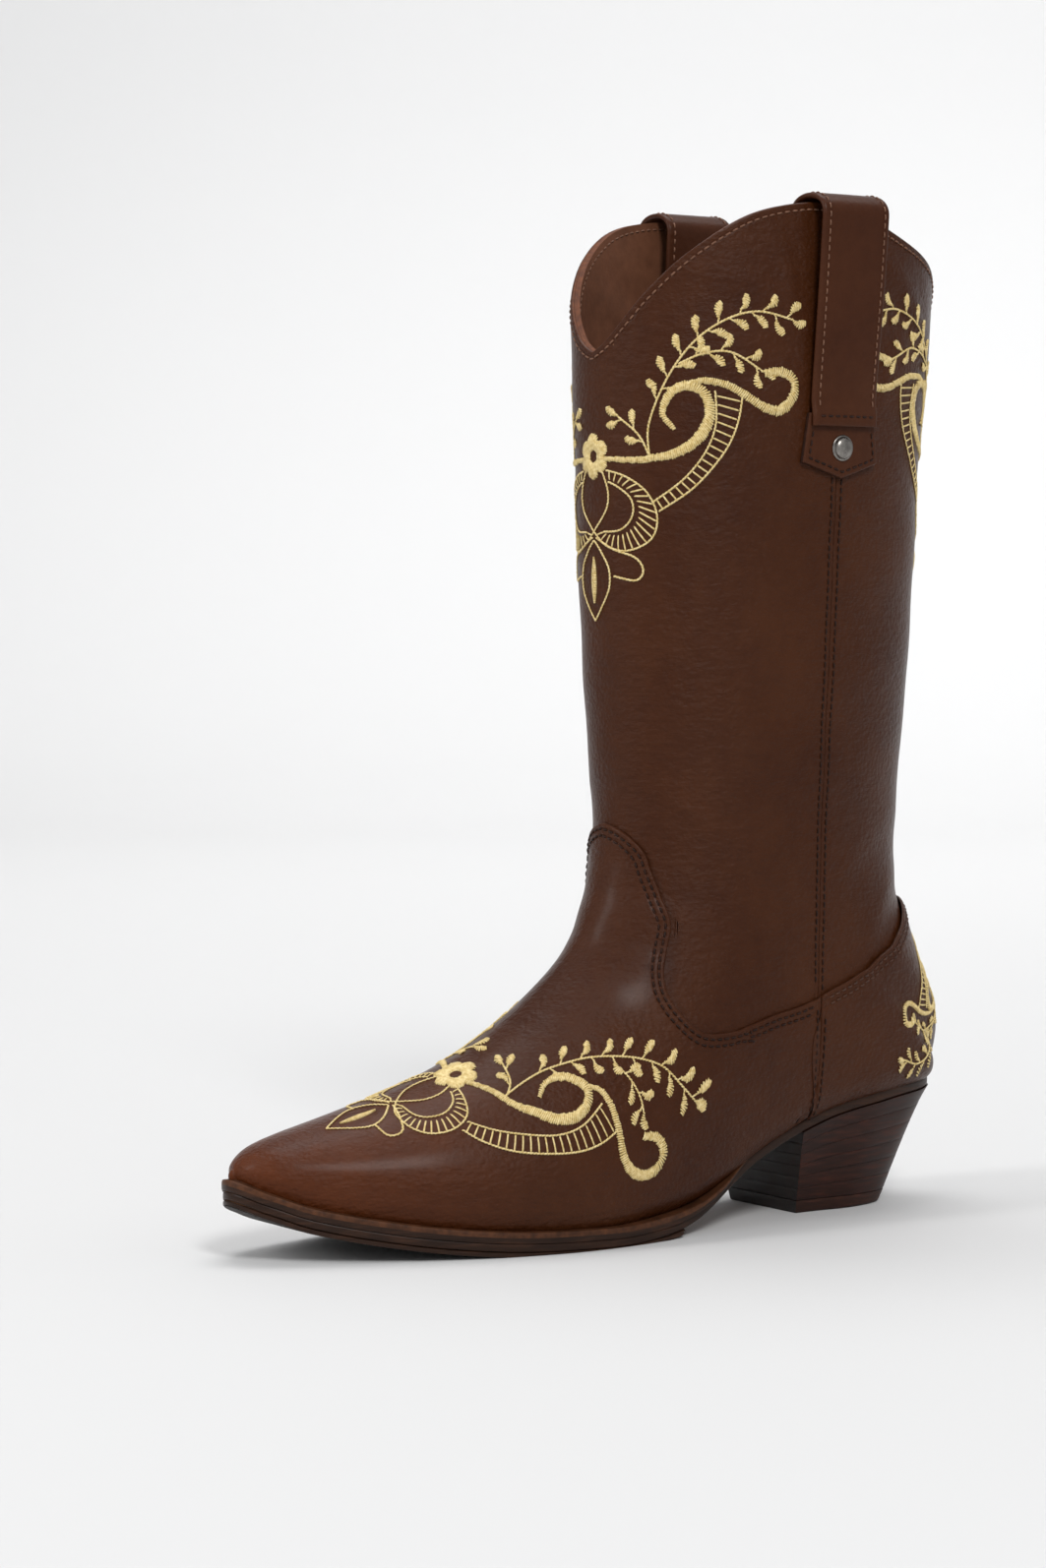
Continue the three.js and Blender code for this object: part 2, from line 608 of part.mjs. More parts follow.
addPiece('outsole', 'sole', cut(slab({
  places: stations(tipY - OUTSOLE.out, heelBackY + OUTSOLE.waistOut - 0.6, 30, true, true),
  edges: outsoleEdges,
  top: outsoleTop,
  under: outsoleBottom,
  pointedFront: true,
}), nailHoles));

addPiece('half_sole', 'rubber', slab({
  places: stations(tipY - OUTSOLE.out, HALF_SOLE.end, 18, true, false),
  edges: forepartEdges,
  top: (y) => outsoleBottom(y) - GAP / 2,
  under: (y) => Math.max(outsoleBottom(y) - GAP / 2 - HALF_SOLE.thick, 0),
  pointedFront: true,
}));

const fillerEdges = edgesAt(-FILLER.inset);
addPiece('cork_filler', 'cork', slab({
  places: stations(FILLER.front, SHANK_BOARD.front - 1, 12, true, false),
  edges: fillerEdges,
  top: (y) => weltTop(y) + INSOLE.lift + UPPER_LIP - GAP,
  under: (y) => weltTop(y) + GAP,
  pointedFront: true,
}));

const shankEdges = () => [-SHANK.width / 2, SHANK.width / 2];
addPiece('shank', 'steel', slab({
  places: stations(SHANK.front, SHANK.back, 12, false, false),
  edges: shankEdges,
  top: (y) => weltTop(y) + SHANK.lift + SHANK.thick,
  under: (y) => weltTop(y) + SHANK.lift,
}));
const boardEdges = edgesAt(-SHANK_BOARD.inset);
addPiece('shank_board', 'board', slab({
  places: stations(SHANK_BOARD.front, SHANK_BOARD.back, 14, false, true),
  edges: boardEdges,
  top: (y) => weltTop(y) + SHANK_BOARD.lift + SHANK_BOARD.thick,
  under: (y) => weltTop(y) + SHANK_BOARD.lift,
}));

const insoleTop = (y) => weltTop(y) + UPPER_LIP + INSOLE.lift + INSOLE.thick;
const insoleEdges = edgesAt(-INSOLE.inset);
addPiece('insole_board', 'board', slab({
  places: stations(INSOLE.front, INSOLE.back, 22, true, true),
  edges: insoleEdges,
  top: insoleTop,
  under: (y) => insoleTop(y) - INSOLE.thick,
}));
const sockEdges = edgesAt(-SOCK.inset);
addPiece('sock_lining', 'lining', slab({
  places: stations(INSOLE.front + 6, INSOLE.back - 1, 22, true, true),
  edges: sockEdges,
  top: (y) => insoleTop(y) + GAP + SOCK.thick,
  under: (y) => insoleTop(y) + GAP,
}));

// ---------------------------------------------------------------- the heel

const seatEdges = edgesAt(HEEL.backOut);
// A place on the side of the heel: share 0 is the seat and 1 the floor, back 0 is the breast.
function heelSection(share, back) {
  const lean = share ** HEEL.lean;
  const seatBack = heelBackY + HEEL.backOut - 0.4;
  const seatY = lerp(HEEL.breastTop, seatBack, Math.sin((Math.PI / 2) * back));
  const [left, right] = seatEdges(seatY);
  const middle = (left + right) / 2;
  const towardsBack = (seatY - HEEL.breastTop) / (seatBack - HEEL.breastTop);
  const floorY = lerp(HEEL.breastBottom, HEEL.backBottom, towardsBack);
  return {
    y: lerp(seatY, floorY, lean),
    seatY,
    sides: [left, right].map((x) => middle * (1 - lean) + (x - middle) * lerp(1, HEEL.narrow, lean)),
  };
}
const heelHeight = (share, seatY) => lerp(TOP_PIECE, outsoleBottom(seatY) - GAP / 2, 1 - share);

function heelBlock(topShare, underShare, zTop, zUnder) {
  const count = 12;
  return sheet(count + 1, 2, (i, j, face) => {
    const { y, seatY, sides } = heelSection(face === 0 ? topShare : underShare, i / count);
    return new THREE.Vector3(sides[j], y, (face === 0 ? zTop : zUnder)(seatY));
  });
}
const LIFTS_SHARE = 1 - TOP_PIECE / HEEL.height; // of the heel's height, above the top piece
for (let k = 0; k < HEEL.lifts; k += 1) {
  const shares = [k / HEEL.lifts, (k + 1) / HEEL.lifts];
  const [topShare, underShare] = shares.map((share) => share * LIFTS_SHARE);
  const block = heelBlock(topShare, underShare,
    (y) => heelHeight(shares[0], y) - GAP / 2,
    (y) => heelHeight(shares[1], y) + GAP / 2);
  const holed = k < HEEL.lifts - 1;
  addPiece(`heel_lift_${k + 1}`, 'heel', holed ? cut(block, nailHoles) : block);
}
addPiece('heel_top_piece', 'rubber', heelBlock(LIFTS_SHARE, 1, () => TOP_PIECE - GAP / 2, () => 0));

// ---------------------------------------------------------------- pull straps

// The half width of the shaft at a place on its side.
function sideWidth(y, z) {
  let low = 17;
  let high = RINGS.length - 1;
  for (let k = 0; k < 40; k += 1) {
    const t = (low + high) / 2;
    const [frontY, frontZ, backY, backZ] = ringAt(t);
    if (lerp(frontZ, backZ, (y - frontY) / (backY - frontY)) < z) low = t;
    else high = t;
  }
  const [frontY, , backY, , wide, , middle, above, below] = ringAt(low);
  const along = (y - frontY) / (backY - frontY);
  const share = along < middle ? (middle - along) / middle : (along - middle) / (1 - middle);
  const round = along < middle ? above : below;
  return wide * (1 - share ** round) ** (1 / round);
}
const wall = SHAFT.outer - LINING.inner;

// Stages of the loop's middle line: up the outside, over the topline and down the inside.
function strapPath() {
  const legSteps = 7;
  const crownSteps = 8;
  const path = [];
  const half = STRAP.thick / 2;
  const gapAt = (z, far) => lerp(STRAP.near, far, (z - STRAP.stitch) / (STRAP.bend - STRAP.stitch));
  const start = STRAP.stitch + TAB.gap / 2;
  const outX = (z) => gapAt(z, STRAP.far) + half;
  const inX = (z) => -wall - gapAt(z, STRAP.farInside) - half;
  for (let k = 0; k < legSteps; k += 1) {
    const z = lerp(start, STRAP.bend, k / legSteps);
    path.push([outX(z), z]);
  }
  const middle = (outX(STRAP.bend) + inX(STRAP.bend)) / 2;
  const radius = (outX(STRAP.bend) - inX(STRAP.bend)) / 2;
  for (let k = 0; k <= crownSteps; k += 1) {
    const angle = (Math.PI * k) / crownSteps;
    path.push([middle + radius * Math.cos(angle), STRAP.bend + (STRAP.crown + half) * Math.sin(angle)]);
  }
  for (let k = legSteps - 1; k >= 0; k -= 1) {
    const z = lerp(start, STRAP.bend, k / legSteps);
    path.push([inX(z), z]);
  }
  return path;
}

// The loop lies round the shaft at its ends, and is flat across where it goes over the topline.
function strapGeometry(side) {
  const path = strapPath();
  const columns = 4;
  return sheet(columns + 1, path.length, (i, j, face) => {
    const y = STRAP.centre + STRAP.width * (i / columns - 0.5);
    const before = path[Math.max(j - 1, 0)];
    const after = path[Math.min(j + 1, path.length - 1)];
    const along = new THREE.Vector2(after[0] - before[0], after[1] - before[1]).normalize();
    const shift = (face === 0 ? 0.5 : -0.5) * STRAP.thick;
    const [x, z] = path[j];
    const level = Math.min(z, STRAP.bend);
    const flat = smoothStep(STRAP.stitch, STRAP.bend, z);
    const base = lerp(sideWidth(y, level), sideWidth(STRAP.centre, level), flat);
    const endOfLeg = j === 0 || j === path.length - 1;
    return new THREE.Vector3(side * (base + x + along.y * shift), y, z - (endOfLeg ? 0 : along.x * shift));
  });
}

// A patch on the side of the shaft between two depths, from its lower outline up to the stitch line.
function tabGeometry(side, width, depths, lowerEdge) {
  const columns = 4;
  const rows = 2;
  const top = STRAP.stitch - TAB.gap / 2;
  return sheet(columns + 1, rows + 1, (i, j, face) => {
    const across = 2 * (i / columns) - 1;
    const y = STRAP.centre + (width / 2) * across;
    const z = lerp(lowerEdge(across), top, j / rows);
    return new THREE.Vector3(side * (sideWidth(y, z) + depths[face]), y, z);
  });
}
const pointedEdge = (across) => lerp(TAB.point, TAB.shoulder, Math.abs(across));
const outerTabDepths = [GAP + TAB.thick, GAP];
const innerTabDepths = [-wall - 2 * GAP, -wall - 2 * GAP - TAB.thick];

// The frame of a rivet: its axis is square to the side of the shaft.
function placeRivet(geometry, side) {
  const slope = (sideWidth(SEAM_Y, RIVET.z + 5) - sideWidth(SEAM_Y, RIVET.z - 5)) / 10;
  const axis = new THREE.Vector3(side, 0, -slope).normalize();
  geometry.applyQuaternion(new THREE.Quaternion().setFromUnitVectors(new THREE.Vector3(0, 0, 1), axis));
  return geometry.translate(side * sideWidth(SEAM_Y, RIVET.z), SEAM_Y, RIVET.z);
}
function rivetGeometry() {
  const seat = outerTabDepths[0] + GAP;
  const end = innerTabDepths[1] - GAP - RIVET.burrThick;
  const domeSteps = 4;
  const profile = [[0, seat + RIVET.dome]];
  for (let k = 1; k <= domeSteps; k += 1) {
    const angle = (Math.PI / 2) * (k / domeSteps);
    profile.push([RIVET.cap * Math.sin(angle), seat + 0.5 + (RIVET.dome - 0.5) * Math.cos(angle)]);
  }
  profile.push([RIVET.cap, seat], [RIVET.post, seat], [RIVET.post, end], [0, end]);
  return turned(profile, 12);
}
function burrGeometry() {
  const top = innerTabDepths[1] - GAP;
  return cut(bar(RIVET.burr, top, top - RIVET.burrThick, 12), [bar(RIVET.hole, top + 2, top - 4, 12)]);
}
const rivetHole = (side) => placeRivet(bar(RIVET.hole, 12, -14, 10), side);

const SIDES = { lateral: 1, medial: -1 };
const rivetHoles = Object.values(SIDES).map(rivetHole);
for (const [name, geometry] of Object.entries(shaftPanels)) {
  addPiece(name, 'leather', cut(geometry, rivetHoles));
}
for (const [name, geometry] of Object.entries(shaftLinings)) {
  addPiece(name, 'lining', cut(geometry, rivetHoles));
}

for (const [name, side] of Object.entries(SIDES)) {
  addPiece(`pull_strap_${name}`, 'leather', strapGeometry(side));
  addPiece(`strap_tab_outer_${name}`, 'leather',
    cut(tabGeometry(side, TAB.width, outerTabDepths, pointedEdge), rivetHoles));
  addPiece(`strap_tab_inner_${name}`, 'leather',
    cut(tabGeometry(side, STRAP.width, innerTabDepths, () => TAB.innerEnd), rivetHoles));
  addPiece(`rivet_${name}`, 'gunmetal', placeRivet(rivetGeometry(), side));
  addPiece(`rivet_burr_${name}`, 'gunmetal', placeRivet(burrGeometry(), side));
}

// The origin is on the floor, under the middle of the boot's box.
const box = new THREE.Box3().setFromObject(boot);
const middle = box.getCenter(new THREE.Vector3());
boot.position.set(-middle.x, -middle.y, -box.min.z);

export default boot;
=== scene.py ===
# Looks of the western boot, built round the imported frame. The boot's form is worked out in millimetres in the
# same way as the CAD source does it: toe towards -Y, lateral side towards +X, +Z up, y = 0 near the seams.
import json
import math

import bpy
import numpy as np
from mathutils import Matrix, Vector

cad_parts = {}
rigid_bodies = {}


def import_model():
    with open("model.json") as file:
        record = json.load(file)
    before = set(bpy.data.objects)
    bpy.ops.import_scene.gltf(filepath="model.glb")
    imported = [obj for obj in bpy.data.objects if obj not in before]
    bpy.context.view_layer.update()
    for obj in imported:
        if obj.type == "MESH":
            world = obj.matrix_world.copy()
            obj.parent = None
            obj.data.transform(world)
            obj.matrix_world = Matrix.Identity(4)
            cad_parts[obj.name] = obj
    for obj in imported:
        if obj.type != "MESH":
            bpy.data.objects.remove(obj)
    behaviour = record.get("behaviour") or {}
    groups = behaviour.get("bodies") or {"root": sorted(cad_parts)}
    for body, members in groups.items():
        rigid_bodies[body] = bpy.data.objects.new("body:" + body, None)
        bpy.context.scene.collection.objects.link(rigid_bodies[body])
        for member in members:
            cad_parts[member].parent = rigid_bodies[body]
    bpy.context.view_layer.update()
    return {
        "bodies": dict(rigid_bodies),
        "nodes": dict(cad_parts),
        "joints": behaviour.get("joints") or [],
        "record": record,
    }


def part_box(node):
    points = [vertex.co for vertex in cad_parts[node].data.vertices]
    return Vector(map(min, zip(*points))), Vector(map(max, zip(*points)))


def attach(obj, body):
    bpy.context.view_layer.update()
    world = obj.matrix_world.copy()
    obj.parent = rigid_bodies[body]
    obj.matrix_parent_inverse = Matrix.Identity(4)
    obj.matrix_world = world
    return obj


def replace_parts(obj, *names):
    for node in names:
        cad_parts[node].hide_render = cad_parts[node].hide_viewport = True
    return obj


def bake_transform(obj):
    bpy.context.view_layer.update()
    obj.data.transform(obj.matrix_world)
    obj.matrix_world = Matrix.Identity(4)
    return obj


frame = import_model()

random = np.random.default_rng(7)

MM = 0.001
PI = math.pi


# ------------------------------------------------------------------ driving dimensions (mm)

# Rings of the form from the toe to the topline: front y, front z, back y, back z, half width, half width at
# the sole edge (below zero once it has closed), place of the widest point, roundness above and below it,
# centre x.
RINGS = np.array([
    [-220.5, 31.5, -220.3, 28.0, 1.2, 0.8, 0.6, 2, 2, -7],
    [-217.5, 34.5, -218, 26.8, 7, 6.2, 0.62, 2, 2, -6.9],
    [-211, 38, -213, 24.8, 12.2, 11.2, 0.64, 2, 2, -6.6],
    [-200, 41.4, -202.5, 20.8, 18.2, 17, 0.66, 1.95, 2, -6],
    [-182, 46, -184.5, 16.6, 26, 24.4, 0.68, 1.9, 2.1, -4.6],
    [-161, 52, -162, 12.8, 34.2, 31.8, 0.7, 1.85, 2.2, -2.6],
    [-140, 59.8, -137, 10.2, 40.2, 37.4, 0.72, 1.75, 2.3, -0.6],
    [-120, 70.5, -111, 9.2, 43, 40.2, 0.73, 1.68, 2.4, 1],
    [-101, 85, -84, 9.2, 42, 38.4, 0.72, 1.62, 2.4, 1.8],
    [-84.5, 101, -55, 14, 39, 33.4, 0.68, 1.62, 2.3, 2],
    [-76, 117, -24, 30.6, 36.6, 28.8, 0.62, 1.7, 2.2, 1.8],
    [-71.5, 133, 8, 42.6, 36, 27.8, 0.55, 1.85, 2.2, 1.2],
    [-70.5, 146, 38, 48.2, 36.6, 28.4, 0.48, 1.95, 2.2, 0.5],
    [-70.5, 157, 63, 50.4, 37.2, 20, 0.43, 2.05, 2.2, 0],
    [-71, 164, 73, 52.6, 37.6, 0, 0.41, 2.1, 2.2, 0],
    [-71.5, 171, 75.5, 66, 37.8, -20, 0.41, 2.1, 2.2, 0],
    [-72, 180, 66, 90, 38.2, -20, 0.43, 2.1, 2.1, 0],
    [-72.8, 192, 57.5, 118, 39, -20, 0.46, 2.1, 2.05, 0],
    [-74, 208, 57, 148, 40.4, -20, 0.49, 2.1, 2.05, 0],
    [-75, 230, 59.8, 188, 42.4, -20, 0.5, 2.1, 2.1, 0],
    [-75.6, 258, 62.5, 230, 44.6, -20, 0.5, 2.1, 2.1, 0],
    [-76.2, 292, 64.4, 276, 46.8, -20, 0.5, 2.1, 2.1, 0],
    [-77.4, 330, 69.8, 326, 48.4, -20, 0.5, 2.1, 2.1, 0],
    [-78.4, 372, 72.5, 372, 49, -20, 0.5, 2.1, 2.1, 0],
])
LAST_RING = len(RINGS) - 1
SOFT_EDGE = 7  # the sole edge closes round the heel over this half width
HEEL_RING = 14

# Outlines on the form as (place across the panel, ring).
VAMP_EDGE = [
    (0, 12), (0.125, 11.92), (0.222, 11.79), (0.286, 11.58), (0.33, 11.29), (0.4, 10.97), (0.442, 10.6),
    (0.458, 10.17), (0.472, 9.86), (0.497, 9.71), (0.546, 9.67), (0.6, 9.76), (0.65, 9.96), (0.712, 10.5),
    (0.84, 11.06), (0.912, 11.47), (1, 11.95),
]
COUNTER_EDGE = [
    (0, 16.9), (0.2, 16.8), (0.35, 16.6), (0.45, 16.35), (0.54, 16.04), (0.663, 15.48), (0.768, 14.7),
    (0.84, 13.6), (0.925, 12.5), (1, 11.95),
]
FRONT_TOPLINE = [
    (0, 21.62), (0.086, 21.72), (0.18, 21.91), (0.276, 22.13), (0.448, 22.47), (0.657, 22.78),
    (0.848, 22.9), (1, 22.9),
]
BACK_TOPLINE = [
    (0, 21.72), (0.074, 21.85), (0.147, 22.02), (0.274, 22.28), (0.45, 22.48), (0.726, 22.68),
    (0.874, 22.8), (1, 22.9),
]
# The same two edges as (place round the ring, ring), from the front or back line to the side seam.
VAMP_LINE = [
    (0, 12), (0.067, 11.92), (0.119, 11.79), (0.154, 11.6), (0.176, 11.28), (0.212, 10.93), (0.25, 10.62),
    (0.26, 10.2), (0.272, 9.87), (0.298, 9.68), (0.343, 9.67), (0.402, 9.8), (0.452, 10.11), (0.501, 10.5),
    (0.541, 10.98), (0.572, 11.43), (0.592, 11.95),
]
COUNTER_LINE = [
    (1, 16.9), (0.91, 16.82), (0.843, 16.6), (0.796, 16.35), (0.754, 16.04), (0.692, 15.48), (0.64, 14.72),
    (0.617, 13.7), (0.606, 12.7), (0.592, 11.95),
]
SEAM_JUNCTION = 11.95
LAP_RINGS = 0.75  # how far the shaft runs on under the vamp and the counter

# Depth of each layer from the form, outer face first. The lining lies close behind the shaft, so that the
# topline shows one edge.
VAMP = (1.8, 0.5)
COUNTER = (2.0, 0.9)
SHAFT = (0.0, -1.4)
SHAFT_LINING = (-1.5, -3.5)
VAMP_LINING = (-2.3, -3.5)
HEEL_LINING = (-2.8, -3.9)
GAP = 0.3  # between layers

SEAM_Y = -1  # the plane of the side seams
SEAM_FROM = 9  # the first ring that reaches it
SEAM_SHOWS = (10.4, 10.9)  # rings over which its turned edges come to stand out
UPPER_LIP = 2.8  # from the top of the welt up to the form's edge
# The foot of the upper: how high its edge is drawn down and how far it is tucked in over these heights, and
# where along y it stands back from the sole at the waist, by how much more.
LIP = {"height": 15, "tuck": 1.5, "tuck_over": (-2, 7), "opens": (-112, -70), "closes": (-58, -25),
       "open_lift": 0.9, "open_tuck": 1.6}
# The welt is thicker than the CAD strip on its upper side, by its rise.
WELT = {"thick": 2.2, "out": 4.0, "last_ring": 10, "skive_from": -70, "skive_to": -20, "rise": 1.5,
        "rise_from": -75, "rise_to": -30}
OUTSOLE = {"forepart": 3.0, "heel": 4.0, "out": 3.6, "waist_out": 1.2, "waist_from": -80, "waist_to": -35}
HALF_SOLE = {"thick": 1.8, "end": -63}
SOCK = {"inset": 3.9, "lift": 10, "thick": 1.2, "front": -194, "back": 59}
HEEL = {"height": 38, "breast_top": -3, "breast_bottom": 2, "back_out": 1.6, "narrow": 0.67,
        "back_bottom": 52, "lean": 0.85, "lifts": 6, "top_piece": 5}
STRAP = {"width": 30, "thick": 2.2, "centre": -0.5, "foot": 288.6, "stitch": 292, "bend": 364, "near": 1.0,
         "far": 5.8, "far_inside": 7.2, "crown": 5.4, "border": 2.6}
TAB = {"width": 32, "thick": 2.1, "flare": 1.4, "shoulder": 275.5, "point": 270, "inner_end": 273,
       "top": 293.2, "border": 2.2}
RIVET = {"z": 281, "cap": 4.7, "dome": 2.6, "seat": 0.9, "post": 1.3, "sides": 48}

STITCH = {"pitch": 3.0, "length": 2.35, "width": 0.72, "ends": 1.0}
EDGE_ROWS = (2.0, 4.4)  # distances of the double rows from the edges of the vamp and the counter
SEAM_ROW = 2.2  # distance of the single rows from the side seams
TOP_ROW = 2.6  # distance of the row below the topline

# The CAD frame's y for the form's y = 0, from the heel nail that stands 50 mm behind it.
nail_low, nail_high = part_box("heel_nail_1")
SHIFT = np.array([0.0, (nail_low.y + nail_high.y) / 2 / MM - 50, 0.0])


# ------------------------------------------------------------------ the form

def lerp(a, b, share):
    return a + (b - a) * share


def smooth(start, end, value):
    share = np.clip((value - start) / (end - start), 0, 1)
    return share * share * (3 - 2 * share)


def spline(knots, at, straight=True):
    """A Catmull-Rom curve through knots, at places counted in knots. Beyond its ends it is taken to run on
    straight, or to stop."""
    knots = np.asarray(knots, float)
    first = 2 * knots[0] - knots[1] if straight else knots[0]
    last = 2 * knots[-1] - knots[-2] if straight else knots[-1]
    padded = np.vstack([first, knots, last])
    at = np.clip(at, 0, len(knots) - 1 - 1e-9)
    index = np.floor(at).astype(int)
    u = (at - index)[..., None]
    a, b, c, d = (padded[index + k] for k in range(4))
    square, cube = 2 * a - 5 * b + 4 * c - d, 3 * b - a - 3 * c + d
    return 0.5 * (2 * b + (c - a) * u + square * u ** 2 + cube * u ** 3)


def ring_at(t):
    return np.moveaxis(spline(RINGS, np.asarray(t, float)), -1, 0)


def form(t, around):
    """Points of the form. around is 0 on the front line, and 1 or -1 on the sole edge or the back line."""
    t, around = np.broadcast_arrays(np.asarray(t, float), np.asarray(around, float))
    front_y, front_z, back_y, back_z, wide, edge, middle, above, below, centre = ring_at(t)
    edge = np.where(np.abs(edge) < SOFT_EDGE, (edge + SOFT_EDGE) ** 2 / (4 * SOFT_EDGE), np.maximum(edge, 0))
    angle = np.abs(around) * PI
    sine, cosine = np.abs(np.sin(angle)), np.abs(np.cos(angle))
    upper = angle <= PI / 2
    across = np.where(upper, wide * sine ** (2 / above), edge + (wide - edge) * sine ** (2 / below))
    along = np.where(upper, middle * (1 - cosine ** (2 / above)),
                     middle + (1 - middle) * cosine ** (2 / below))
    x = centre + np.sign(around) * across
    return np.stack([x, lerp(front_y, back_y, along), lerp(front_z, back_z, along)], -1)


def unit(vectors):
    return vectors / np.maximum(np.linalg.norm(vectors, axis=-1, keepdims=True), 1e-9)


def dot(first, second):
    """The scalar products of two lists of vectors."""
    return np.einsum("ij,ij->i", first, second)


def arc_length(line):
    """The distance along a line, at each of its points."""
    return np.concatenate([[0], np.cumsum(np.linalg.norm(np.diff(line, axis=0), axis=-1))])


def along_line(at, places, line):
    """Points of a line that has its own points at the given places."""
    return np.stack([np.interp(at, places, column) for column in line.T], -1)


def bisect(low, high, shape, before, turns):
    """The last place between low and high at which before(place) holds, for each element of an array."""
    low, high = np.full(shape, float(low)), np.full(shape, float(high))
    for _ in range(turns):
        middle = (low + high) / 2
        early = before(middle)
        low, high = np.where(early, middle, low), np.where(early, high, middle)
    return low


def form_normal(t, around):
    step = 0.01
    t, around = np.broadcast_arrays(np.asarray(t, float), np.asarray(around, float))
    ring_way = form(t, np.minimum(around + step, 1)) - form(t, np.maximum(around - step, -1))
    form_way = form(np.minimum(t + step, LAST_RING), around) - form(np.maximum(t - step, 0), around)
    return unit(np.cross(ring_way, form_way))


def ring_speed(t, around):
    """Millimetres along the ring for each unit of around."""
    step = 0.004
    ahead, behind = np.minimum(around + step, 1), np.maximum(around - step, -1)
    return np.linalg.norm(form(t, ahead) - form(t, behind), axis=-1) / (ahead - behind)


# Soft folds of the leather: (centre, direction in the y-z plane, half length, half width, height, side).
FOLDS = [
    ((-38, 336), (0.86, -0.5), 17, 4.5, 0.8, 1),
    ((-33, 329), (0.8, -0.6), 16, 3.6, -0.9, 1),
    ((-24, 343), (0.3, -0.95), 16, 3.5, 0.7, 1),
    ((-27, 316), (0.9, 0.4), 13, 3.2, -0.5, 1),
    ((-24, 302), (0.95, 0.3), 12, 3.5, 0.45, 1),
    ((28, 334), (0.8, -0.6), 16, 4, -0.7, 1),
    ((33, 341), (0.8, -0.6), 18, 4, 0.6, 1),
    ((30, 318), (0.7, 0.7), 14, 4, 0.5, 1),
    ((-34, 332), (0.86, -0.5), 17, 4, -0.8, -1),
    ((-30, 340), (0.8, -0.6), 18, 4, 0.7, -1),
    ((30, 330), (0.8, -0.6), 16, 4, -0.6, -1),
    ((38, 120), (0.78, 0.62), 24, 5.5, 0.5, 0),
    ((42, 112), (0.78, 0.62), 22, 5, -0.4, 0),
    ((30, 134), (0.85, 0.5), 22, 5.5, -0.4, 0),
    ((-62, 121), (1, -0.15), 18, 4, -0.3, 0),
    ((-64, 113), (1, -0.1), 16, 4, 0.25, 0),
    ((-62, 132), (1, -0.1), 16, 4, -0.2, 0),
    ((-68, 103), (0.9, -0.45), 16, 4, -0.25, 0),
]


def relief(points):
    """How far the worn leather stands out from the form."""
    x, y, z = np.moveaxis(points, -1, 0)
    height = 0.22 * np.sin(x / 9.1 + z / 23) * np.sin(z / 14.3 + y / 17) * smooth(90, 150, z)
    height += 0.12 * np.sin(z / 5.3 + 2.1 * np.sin(y / 19 + x / 27)) * smooth(100, 140, z)
    for (centre_y, centre_z), way, length, width, tall, side in FOLDS:
        dy, dz = y - centre_y, z - centre_z
        along = dy * way[0] + dz * way[1]
        beside = dz * way[0] - dy * way[1] + 0.012 * along ** 2
        near = 1 if side == 0 else smooth(0, 12, side * x)
        height += near * tall * np.exp(-(along / length) ** 2 - (beside / width) ** 2)
    calm = (1 - smooth(16, 24, np.abs(y - STRAP["centre"]))) * smooth(258, 268, z)
    return height * (1 - calm)


def seam_around(t, shift=0.0):
    """Where round the ring the side seam lies: on the sole edge, at 1, before the rings reach its plane."""
    front_y, _, back_y, _, _, _, middle, above, below, _ = ring_at(t)
    reach = np.where(np.asarray(t) < SEAM_FROM, 1.0, back_y - front_y)
    along = np.where(np.asarray(t) < SEAM_FROM, 1.0, (SEAM_Y + shift - front_y) / reach)
    upper = np.arccos(np.clip((middle - along) / middle, 0, 1) ** (above / 2)) / PI
    lower = 1 - np.arccos(np.clip((along - middle) / (1 - middle), 0, 1) ** (below / 2)) / PI
    return np.where(along >= 1, 1.0, np.where(along <= middle, upper, lower))


def seam_ring(around, shift):
    """The ring on the side seam at a place round the ring."""
    return bisect(10, SEAM_JUNCTION + 1, np.shape(around), lambda ring: seam_around(ring, shift) > around, 40)


FRONT_SHARE = 0.535  # how far round the ring the columns of the front panels would end without the seam


def front_around(across, t):
    side = np.abs(across)
    seam = seam_around(t, -GAP / 2)
    return np.sign(across) * (FRONT_SHARE * side + side ** 4 * (seam - FRONT_SHARE))


def back_around(across, t):
    return np.where(across < 0, -1, 1) * (1 - np.abs(across) * (1 - seam_around(t, GAP / 2)))


def outline(points):
    curve = spline(points, np.linspace(0, len(points) - 1, 801), straight=False)
    return lambda across: np.interp(np.abs(across), curve[:, 0], curve[:, 1])


vamp_edge = outline(VAMP_EDGE)
counter_edge = outline(COUNTER_EDGE)
front_topline = outline(FRONT_TOPLINE)
back_topline = outline(BACK_TOPLINE)


def drawn_line(points):
    """A line on the form as a function from its share (0 to 1) to the place round the ring and the ring."""
    curve = spline(points, np.linspace(0, len(points) - 1, 1601), straight=False)
    curve[-1, 0] = seam_around(SEAM_JUNCTION)
    reach = arc_length(form(curve[:, 1], curve[:, 0]))
    reach /= reach[-1]
    return lambda share: [np.interp(np.abs(share), reach, curve[:, k]) for k in (0, 1)]


vamp_line = drawn_line(VAMP_LINE)
counter_line = drawn_line(COUNTER_LINE)


# ------------------------------------------------------------------ the sole's heights and edges

SOLE_RINGS = np.arange(0, HEEL_RING + 1e-6, 0.1)
LOOP_RINGS = np.linspace(0, HEEL_RING, 900)
SOLE_LINE = ring_at(SOLE_RINGS)
TIP_X, TIP_Y = RINGS[0][9], RINGS[0][2] - 0.3
HEEL_BACK_X, HEEL_BACK_Y = RINGS[HEEL_RING][9], RINGS[HEEL_RING][2]


def even(out):
    """The same distance out all along the sole."""
    return lambda y: np.full(np.shape(y), float(out))


